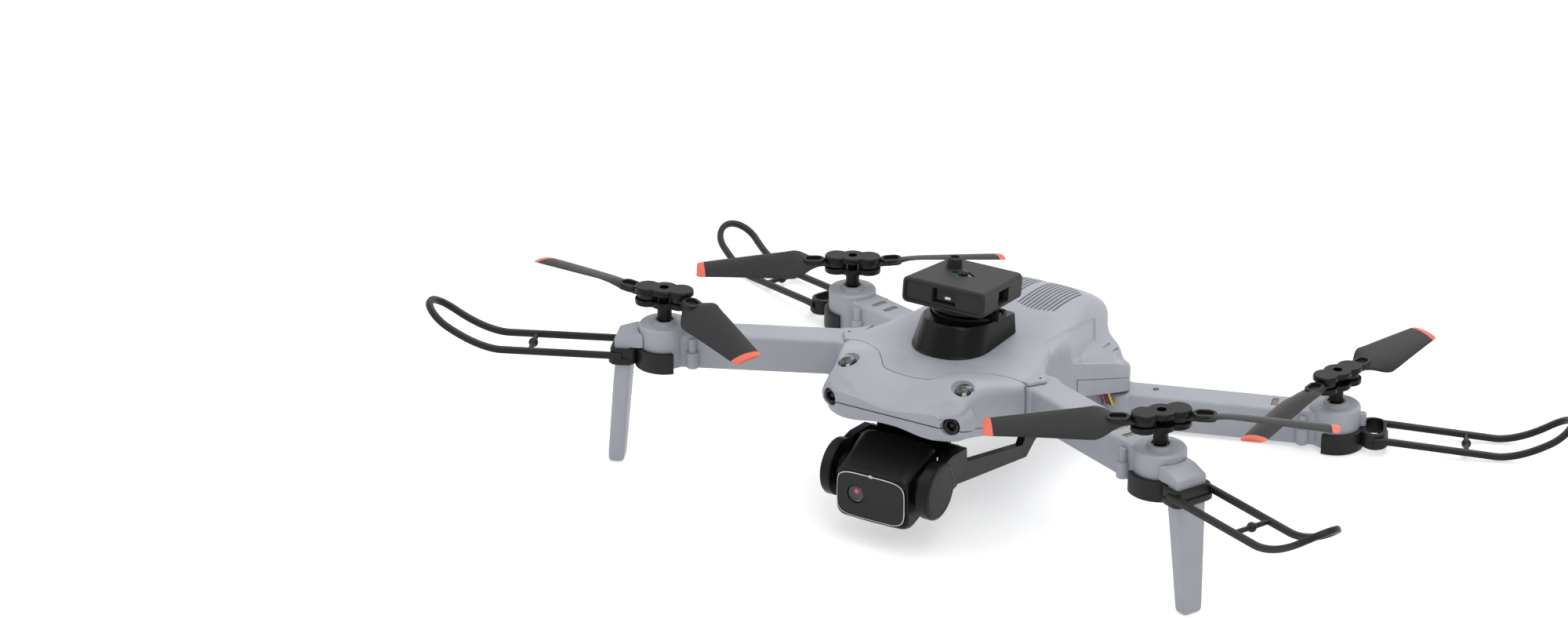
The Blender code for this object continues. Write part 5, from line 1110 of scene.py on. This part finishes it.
def housing_room():
    return turned("housing_room", [(GUARD_INNER, -0.02), (GUARD_INNER, 0.03)], 72)


def fine_guard(name, front):
    """Guard round the motor housing: a clip band, a flanged cup and a loop of rails that rises to its tip."""
    bend = 0.0024 if front else 0.0042
    wide = CUP_HALF + LIP

    def band(i):
        return (arc(0, 0, GUARD_INNER, -115, 115, 56)
                + arc(0, 0, GUARD_INNER + GUARD_WALL - i, 115, -115, 56))

    def cup_outline(i):
        return rounded(CUP_IN - CUP_WALL - LIP, CUP_OUT - i, -CUP_HALF + i, CUP_HALF - i, bend)

    def flange_outline(i):
        return rounded(CUP_IN - CUP_WALL, CUP_OUT + LIP - i, -wide + i, wide - i, bend + 0.0004)
    guard = prism(name, band, soft_levels(GUARD_LOW, GUARD_HIGH))
    cup = prism("cup", cup_outline, soft_levels(CUP_Z0, GUARD_HIGH))
    join(cup, prism("flange", flange_outline, ((CUP_Z0 - 0.0002, 0.0003), (CUP_Z0 + 0.0002, 0.0),
                                               (CUP_Z0 + 0.0018, 0.0), (CUP_Z0 + 0.0022, 0.0002))))
    cut(cup, housing_room())
    rail_z = HOUSING_H - 0.0104
    slope = 0.0 if front else REAR_RAIL_FALL
    reach = RAIL_TIP - RAIL_GAUGE / 2
    start = CUP_IN + 0.003
    plan = [(start + (RISE_FROM - start) * k / 12, RAIL_GAUGE / 2) for k in range(13)]
    plan += [(RISE_FROM + (reach - RISE_FROM) * k / 14, RAIL_GAUGE / 2) for k in range(1, 14)]
    plan += arc(reach, 0, RAIL_GAUGE / 2, 90, 0, 16)
    plan += [(x, -y) for x, y in plan[-2::-1]]
    path = []
    for x, y in plan:
        s = max(0.0, (x - RISE_FROM) / (RAIL_TIP - RISE_FROM))
        path.append((x, y, rail_z - slope * max(0.0, x - CUP_OUT) + RAIL_LIFT * s ** 1.7))
    join(guard, cup, bar("rails", path, rounded(-RAIL_HALF, RAIL_HALF, -RAIL_HALF, RAIL_HALF, 0.0007, 4)))
    bar_z = rail_z - slope * (CROSSBAR_AT - CUP_OUT)
    crossing = [(CROSSBAR_AT, RAIL_GAUGE / 2 * k / 4, bar_z) for k in range(-4, 5)]
    ball = turned("ball", dome(0.0017, 0.0, 0.0017, range(-84, 85, 12)), 28)
    join(guard, bar("crossbar", crossing, ring_of(0.0009, 16)), placed(ball, at(CROSSBAR_AT, 0, bar_z)))
    hole = rounded(CUP_IN, CUP_OUT - CUP_WALL, -CUP_HALF + CUP_WALL, CUP_HALF - CUP_WALL,
                   0.0010 if front else bend - CUP_WALL)
    cut(guard, prism("cup_hole", lambda i: hole, ((CUP_Z0 - 0.001, 0), (GUARD_HIGH + 0.001, 0))))
    return guard


def fine_leg(name):
    """Leg of a front arm: a tapering foot with a soft ridge down its face, and a block by the housing."""
    lx0, lx1 = CUP_IN + GAP, CUP_OUT - CUP_WALL - GAP
    ly = CUP_HALF - CUP_WALL - GAP
    mid, thick = (lx0 + lx1) / 2, (lx1 - lx0) / 2
    rings = []

    def section(cx, hx, hy, r, ridge):
        out = rounded(cx - hx, cx + hx, -hy, hy, r)
        return [(x + (ridge * math.cos(math.pi / 2 * min(1.0, abs(y) / hy)) if x > cx else 0.0), y)
                for x, y in out]
    top_z = CUP_Z0 - 0.0010
    for k, along in enumerate(LEG_STATIONS):
        shrink = FOOT_ROUND[min(k, len(FOOT_ROUND) - 1)]
        z = -FRONT_ARM_Z + along * (FRONT_ARM_Z + top_z)
        hx = FOOT_HALF_X + (thick - FOOT_HALF_X) * along
        hy = FOOT_HALF_Y + (ly - FOOT_HALF_Y) * along
        cx = FOOT_X + (mid - FOOT_X) * along
        ridge = 0.0006 * between(0.0, 1.0, along / 0.1) * between(1.0, 0.0, (along - 0.85) / 0.15)
        rings.append([(x, y, z) for x, y in section(cx, hx - shrink, hy - shrink, 0.0012, ridge)])
    zb, zt = GUARD_HIGH + GAP, 0.0112
    rings.append([(x, y, zb + 0.0010) for x, y in section(mid, thick, ly, 0.0010, 0.0)])
    leg = skin(name, rings)
    prof = [(HOUSING_R - 0.002, zb), (lx1, zb), (lx1, zb + 0.0024), (lx1 - 0.0002, zb + 0.0028),
            (lx1 - 0.0007, zb + 0.0031), (HOUSING_R + 0.0026, zt - 0.0003), (HOUSING_R + 0.0016, zt),
            (HOUSING_R - 0.002, zt)]
    rows = []
    for y, i in ((-ly, 0.0008), (-ly + 0.0003, 0.0003), (-ly + 0.0008, 0.0), (ly - 0.0008, 0.0),
                 (ly - 0.0003, 0.0003), (ly, 0.0008)):
        rows.append([(x - (i if x > HOUSING_R else 0), y, z - (i if z > zb + 0.002 else 0)) for x, z in prof])
    join(leg, skin("leg_block", rows))
    cut(leg, housing_room())
    return leg


def screw(name):
    """Small pan-head screw with a cross recess, its head up from Z = 0."""
    head = turned(name, [(0.0007, -0.0008), (0.0012, 0.0), (0.0013, 0.0001), (0.0013, 0.0003),
                         (0.0011, 0.0005), (0.0006, 0.0006)], 28)
    for wide, deep in ((0.0008, 0.00016), (0.00016, 0.0008)):
        cut(head, brick("recess", -wide, wide, -deep, deep, 0.0002, 0.002))
    return softened(head, 0.0)


screw_model = screw("screw_model")
SCREW_FLIP = Matrix.Rotation(math.pi, 4, "X")
guard_models = {True: fine_guard("front_guard_model", True), False: fine_guard("rear_guard_model", False)}
for model in guard_models.values():
    softened(model, 0.0, angle=30.0)
leg_model = softened(fine_leg("leg_model"), 0.0, angle=34.0)
arm_places = {}
for tag in TAGS:
    front, side = tag.startswith("front"), 1 if tag.endswith("left") else -1
    pivot, motor = (FRONT_PIVOT, FRONT_MOTOR) if front else (REAR_PIVOT, REAR_MOTOR)
    angle = FRONT_ANGLE if front else REAR_ANGLE
    length = math.hypot(motor[0] - pivot[0], motor[1] - pivot[1])
    way = angle if side > 0 else 180 - angle
    base = FRONT_ARM_Z if front else REAR_ARM_Z
    place = BODY_PLACE @ at(pivot[0] * side, pivot[1], base) @ turn_z(way)
    turn = side * math.radians((-GUARD_SWEEP if front else GUARD_SWEEP) - angle)
    arm_places[tag] = (place, length, way)
    body = body_of("arm_" + tag)
    arm = fine_arm("arm_" + tag + "_fine", length, front, turn)
    stands_for(softened(placed(arm, place), 0.00018, 2, 40.0), "arm_" + tag, GREY_SHELL)
    mount = place @ at(length, 0, 0) @ Matrix.Rotation(turn, 4, "Z")
    guard = placed(twin(guard_models[front], "guard_" + tag + "_fine"), mount)
    stands_for(guard, "guard_" + tag, GUARD_NYLON)
    if front:
        stands_for(placed(twin(leg_model, "leg_" + tag + "_fine"), mount), "leg_" + tag, GREY_SHELL)
    collar = turned("collar_ring_" + tag, [(0.0024, HOUSING_H - 0.0009), (0.0029, HOUSING_H - 0.0009),
                                           (0.0029, HOUSING_H + 0.0001), (0.0027, HOUSING_H + 0.0003),
                                           (0.0024, HOUSING_H + 0.0003)], 40)
    cut(collar, turned("collar_bore", [(0.0022, 0.0), (0.0022, 0.03)], 32))
    fitted(softened(placed(collar, place @ at(length, 0, 0)), 0.0), body, COIL_BROWN)
    for k, d in enumerate(LIGHT_AT):
        strip = prism("light_strip_%d_%s" % (k, tag), lambda i: rounded(
            -0.00112 + i, 0.00112 - i, -0.00302 + i, 0.00302 - i, 0.0004),
            round_top(ARM_HEIGHT - 0.00108, ARM_HEIGHT - 0.0003, 0.0002, 3))
        fitted(softened(placed(strip, place @ at(length - d, 0, 0)), 0.0), body, SLOT_BROWN)
    for k, x in enumerate((EYE_R + 0.0060, 0.62 * length)):
        cover_screw = twin(screw_model, "cover_screw_%d_%s" % (k, tag))
        fitted(placed(cover_screw, place @ at(x, 0, 0) @ SCREW_FLIP), body, DARK_STEEL)
    if not front:
        arm_screw = twin(screw_model, "arm_screw_" + tag)
        fitted(placed(arm_screw, place @ at(0.0118, 0.0009 * side, ARM_HEIGHT - 0.0004)), body, DARK_STEEL)


# Propellers
HUB_LIFT, HUB_PLATE, HUB_SLOT, HUB_CAP = 0.00646, 0.0020, 0.0026, 0.0019
BLADE_PIN_AT, BLADE_TIP_R = 0.0058, 0.0578
BLADE_ROOT_CHORD, BLADE_CHORD, BLADE_TIP_CHORD = 0.0056, 0.0150, 0.0098
BLADE_TWIST, BLADE_TIP_TWIST, BLADE_CAMBER = 22.0, 10.0, 0.06
BLADE_MID_T, BLADE_TIP_T, BLADE_LEAN, BLADE_DROOP = 0.0012, 0.0008, 0.0016, 0.0025
TIP_LEN, TIP_SLANT = 0.0027, 0.10
LOOP_AT, LOOP_LEN, LOOP_HALF, LOOP_RIM = 0.0046, 0.0080, 0.0029, 0.0011


def hub_outline(grow=0.0):
    """Three overlapping lobes in a row."""
    out, points = [], 120
    for k in range(points):
        t = 2 * math.pi * k / points
        far = 0.0
        for cx, r in ((-0.0059, 0.0045), (0.0, 0.0050), (0.0059, 0.0045)):
            under = (r - grow) ** 2 - (cx * math.sin(t)) ** 2
            if under > 0:
                far = max(far, cx * math.cos(t) + math.sqrt(under))
        out.append((far * math.cos(t), far * math.sin(t)))
    return out


def fine_hub(name):
    """Lower plate of the hub with its stem, blade pins and middle post."""
    hub = prism(name, hub_outline, ((0.0, 0.0004), (0.0001, 0.0001), (0.0004, 0.0), (HUB_PLATE - 0.0002, 0.0),
                                    (HUB_PLATE, 0.0002)))
    join(hub, turned("stem", [
        (0.0018, -HUB_LIFT - 0.0009), (0.0018, -HUB_LIFT + 0.0006), (0.0025, -HUB_LIFT + 0.0014),
        (0.0025, -0.0006), (0.0028, -0.0002), (0.0032, 0.0002)], 40))
    for x, r in ((BLADE_PIN_AT, 0.0012), (-BLADE_PIN_AT, 0.0012), (0.0, 0.00175)):
        join(hub, placed(turned("post", [(r, HUB_PLATE - 0.0004), (r, HUB_PLATE + HUB_SLOT - GAP)], 24),
                         at(x, 0, 0)))
    cut(hub, turned("shaft_bore", [(0.0012, -HUB_LIFT - 0.01), (0.0012, -0.0012)], 24))
    return hub


def fine_cap(name):
    z = HUB_PLATE + HUB_SLOT
    cap = prism(name, hub_outline, round_top(z, z + HUB_CAP, 0.0007))
    cut(cap, turned("cap_hole", [(0.00165, z + 0.0005), (0.00165, z + HUB_CAP - 0.0002),
                                 (0.0020, z + 0.02)], 32))
    return cap


def fine_blade(name, hand):
    """Cambered, twisted blade with a slightly slanted tip, its pin eye and the loop at its root."""
    span, root = BLADE_TIP_R - BLADE_PIN_AT, HUB_SLOT - 2 * GAP
    rings = []
    along_at = [0.03 + 0.32 * k / 22 for k in range(22)] + [0.35 + 0.60 * k / 20 for k in range(20)]
    along_at += [0.95, 0.962, 0.973, 0.982, 0.989, 0.994, 0.998, 1.0]
    for along in along_at:
        if along < 0.32:
            chord = between(BLADE_ROOT_CHORD, BLADE_CHORD, (along - 0.10) / 0.22)
            twist = between(0.0, BLADE_TWIST, (along - 0.08) / 0.20)
        else:
            chord = BLADE_CHORD + (BLADE_TIP_CHORD - BLADE_CHORD) * (along - 0.32) / 0.68
            twist = BLADE_TWIST + (BLADE_TIP_TWIST - BLADE_TWIST) * (along - 0.32) / 0.68
        if along > 0.95:
            t = (along - 0.95) / 0.05
            chord *= 0.80 + 0.20 * math.sqrt(max(0.0, 1 - t ** 3))
        thick = (between(root, BLADE_MID_T, (along - 0.05) / 0.30) if along < 0.35
                 else BLADE_MID_T + (BLADE_TIP_T - BLADE_MID_T) * (along - 0.35) / 0.65)
        camber = BLADE_CAMBER * between(0.0, 1.0, (chord - 0.006) / 0.004)
        lean, fall = between(0.0, BLADE_LEAN, (along - 0.1) / 0.3), BLADE_DROOP * along ** 1.5
        c, s = math.cos(math.radians(twist)), math.sin(math.radians(twist))
        ring = []
        for k in range(28):
            t = 2 * math.pi * k / 28
            y = chord / 2 * math.cos(t)
            z = thick / 2 * math.sin(t) + camber * chord * (1 - (2 * y / chord) ** 2)
            ring.append((span * along, hand * (y * c - z * s - lean), y * s + z * c - fall))
        rings.append(ring)
    blade = skin(name, rings)
    join(blade, turned("blade_eye", [(0.0034, -root / 2), (0.0036, -root / 2 + 0.0002),
                                     (0.0036, root / 2 - 0.0002), (0.0034, root / 2)], 40))

    def loop(i):
        return rounded(LOOP_AT + i, LOOP_AT + LOOP_LEN - i, -LOOP_HALF + i, LOOP_HALF - i, 0.0026)
    well_half = LOOP_HALF - LOOP_RIM
    well = rounded(LOOP_AT + LOOP_RIM, LOOP_AT + LOOP_LEN - LOOP_RIM, -well_half, well_half, 0.0017)
    join(blade, prism("loop", loop, round_top(-0.0004, root / 2 + 0.0007, 0.0003, 3)))
    cut(blade, prism("loop_well", lambda i: well, ((root / 2 - 0.0004, 0), (0.01, 0))))
    cut(blade, turned("blade_bore", [(0.0015, -0.01), (0.0015, 0.01)], 28))
    tip = span - TIP_LEN
    edit(blade)
    bpy.ops.mesh.bisect(plane_co=(tip, 0, 0), plane_no=(1.0, -TIP_SLANT * hand, 0.0))
    done()
    softened(blade, 0.0, angle=34.0)
    paint(blade, BLADE_NYLON)
    blade.data.materials.append(TIP_ORANGE)
    for face in blade.data.polygons:
        x, y, z = face.center
        if x - tip - TIP_SLANT * hand * y > 0:
            face.material_index = 1
    return blade


# Each propeller's hand, its turn at rest and the swing of its two blades, as in the photograph
PROPS = {"front_left": (-1, 49.1, -25.3, -20.0), "front_right": (1, 14.6, -44.5, -24.5),
         "rear_left": (1, 71.2, 13.3, 16.8), "rear_right": (-1, 25.4, 17.6, 5.4)}
hub_model = softened(fine_hub("hub_model"), 0.0, angle=30.0)
cap_model = softened(fine_cap("cap_model"), 0.0, angle=30.0)
blade_models = {hand: fine_blade("blade_model_%d" % hand, hand) for hand in (1, -1)}
for tag, (hand, rest, lag_a, lag_b) in PROPS.items():
    place, length, way = arm_places[tag]
    spin = place @ at(length, 0, HOUSING_H + HUB_LIFT) @ turn_z(rest - way)
    stands_for(placed(twin(hub_model, "hub_" + tag + "_fine"), spin), "hub_" + tag, BLACK_SATIN)
    stands_for(placed(twin(cap_model, "hub_cap_" + tag + "_fine"), spin), "hub_cap_" + tag, BLACK_SATIN)
    for letter, turn, lag in (("a", 0.0, lag_a), ("b", 180.0, lag_b)):
        node = "blade_" + tag + "_" + letter
        pin = turn_z(turn) @ Vector((BLADE_PIN_AT, 0, HUB_PLATE + HUB_SLOT / 2))
        blade = placed(twin(blade_models[hand], node + "_fine"), spin @ at(*pin) @ turn_z(turn + lag))
        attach(blade, body_of(node))
        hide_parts(node)
for model in (screw_model, leg_model, hub_model, cap_model, *guard_models.values(), *blade_models.values()):
    bpy.data.objects.remove(model)


# Motor leads that leave the hips for the rear arms
LEAD_R, LEAD_PITCH = 0.00048, 0.0013
LEAD_ROUTE = ((0.0268, 0.0300, 0.0186), (0.0270, 0.0318, 0.0150), (0.0268, 0.0345, 0.0112),
              (0.0262, 0.0372, 0.0090))


def lead(name, path, material):
    ob = bar(name, path[:1] + smooth_line(path, 8), ring_of(LEAD_R, 12))
    softened(placed(ob, BODY_PLACE), 0.0)
    paint(ob, material)
    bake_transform(ob)


for side, name in ((1, "left"), (-1, "right")):
    for k, material in enumerate((LEAD_YELLOW, LEAD_BLACK, LEAD_RED)):
        route = [(side * (x - LEAD_PITCH * k), y, z) for x, y, z in LEAD_ROUTE]
        lead("motor_lead_%d_%s" % (k, name), route, material)

# Everything else keeps its CAD form, with softened edges
FINISH_OF = {
    "sensor_pedestal": PEDESTAL_GLOSS, "battery_pack": GREY_SHELL, "battery_latch": BLACK_MATT,
    "power_button": BLACK_MATT, "main_board": BOARD_GREEN, "head_indicator": TEAL_GEM,
}
for tag in TAGS:
    FINISH_OF["hinge_pin_" + tag] = DARK_STEEL
    FINISH_OF["motor_" + tag] = BARE_STEEL
    FINISH_OF["cover_" + tag] = GREY_SHELL
for node, material in FINISH_OF.items():
    moulding(node, material)


# Studio
LENS_MM, SENSOR_MM = 99.83, 36.0
VIEW_RIGHT, VIEW_BACK = Vector((0.8550, 0.5187, 0.0)), Vector((0.4746, -0.7823, 0.4034))
VIEW_STAND = Vector((0.5530, -1.1457, 0.6590))   # from the ground under the left front motor
SOFTBOXES = (("top_softbox", (0.1, 0.1, 1.7), 1.6, 8.5), ("key_softbox", (1.0, -0.8, 1.4), 1.3, 9.0),
             ("fill_softbox", (-1.2, -0.7, 1.1), 1.6, 6.0), ("back_softbox", (0.1, 1.3, 1.4), 1.4, 9.0))
LIT_POINT = Vector((0.0, 0.0, 0.04))


def photo_camera(scene):
    motor_low, motor_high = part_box("motor_front_left")
    motor = (motor_low + motor_high) / 2
    right, back = VIEW_RIGHT.normalized(), VIEW_BACK.normalized()
    turn = Matrix((right, back.cross(right), back)).transposed()
    cam = bpy.data.cameras.new("photo_camera")
    cam.lens = LENS_MM
    cam.sensor_width = SENSOR_MM
    ob = bpy.data.objects.new("photo_camera", cam)
    scene.collection.objects.link(ob)
    ob.matrix_world = Matrix.Translation(Vector((motor.x, motor.y, 0.0)) + VIEW_STAND) @ turn.to_4x4()
    scene.camera = ob


def direct_rays(tree):
    """1 for rays from the camera, mirrored or through glass, else 0."""
    path = tree.nodes.new("ShaderNodeLightPath")
    seen = path.outputs["Is Camera Ray"]
    for kind in ("Is Glossy Ray", "Is Transmission Ray"):
        either = tree.nodes.new("ShaderNodeMath")
        either.operation = "MAXIMUM"
        tree.links.new(seen, either.inputs[0])
        tree.links.new(path.outputs[kind], either.inputs[1])
        seen = either.outputs["Value"]
    return seen


def white_world(scene):
    """Soft light on the part, plain white to the eye."""
    scene.world = bpy.data.worlds.new("studio_world")
    scene.world.use_nodes = True
    tree = scene.world.node_tree
    sky = tree.nodes["Background"]
    sky.inputs["Color"].default_value = (0.95, 0.97, 1.0, 1.0)
    sky.inputs["Strength"].default_value = 0.36
    white = tree.nodes.new("ShaderNodeBackground")
    white.inputs["Color"].default_value = (1.0, 1.0, 1.0, 1.0)
    pick = tree.nodes.new("ShaderNodeMixShader")
    tree.links.new(direct_rays(tree), pick.inputs["Fac"])
    tree.links.new(sky.outputs["Background"], pick.inputs[1])
    tree.links.new(white.outputs["Background"], pick.inputs[2])
    tree.links.new(pick.outputs["Shader"], tree.nodes["World Output"].inputs["Surface"])


def paper_floor():
    """Paper that keeps the part's shadow and glows to white away from it."""
    bpy.ops.object.select_all(action="DESELECT")
    bpy.ops.mesh.primitive_plane_add(size=6.0, location=(0, 0, cad_low[2] - 0.0002))
    floor = bpy.context.object
    floor.name = "studio_floor"
    mat, shader = finish("studio_paper", Base_Color=(0.80, 0.80, 0.80, 1.0), Roughness=0.9,
                         Emission_Color=(1.0, 1.0, 1.0, 1.0))
    place = add(mat, "TexCoord")
    far = add(mat, "VectorMath", operation="LENGTH")
    wire(mat, place.outputs["Object"], far.inputs[0])
    paper = add(mat, "MapRange", interpolation_type="SMOOTHSTEP")
    for socket, value in (("From Min", 0.25), ("From Max", 1.10), ("To Min", 0.50), ("To Max", 1.0)):
        paper.inputs[socket].default_value = value
    wire(mat, far.outputs["Value"], paper.inputs["Value"])
    glow = add(mat, "MapRange")
    glow.inputs["To Min"].default_value = 0.18
    wire(mat, direct_rays(mat.node_tree), glow.inputs["Value"])
    wire(mat, paper.outputs["Result"], glow.inputs["To Max"])
    wire(mat, glow.outputs["Result"], shader.inputs["Emission Strength"])
    paint(floor, mat)


def softboxes(scene):
    for name, spot, size, power in SOFTBOXES:
        light = bpy.data.lights.new(name, "AREA")
        light.shape = "DISK"
        light.size = size
        light.energy = power
        lamp = bpy.data.objects.new(name, light)
        scene.collection.objects.link(lamp)
        aim = Vector(spot) - LIT_POINT
        lamp.matrix_world = Matrix.Translation(spot) @ aim.to_track_quat("Z", "Y").to_matrix().to_4x4()


def studio():
    scene = bpy.context.scene
    scene.view_settings.view_transform = "Standard"
    photo_camera(scene)
    white_world(scene)
    paper_floor()
    softboxes(scene)


studio()
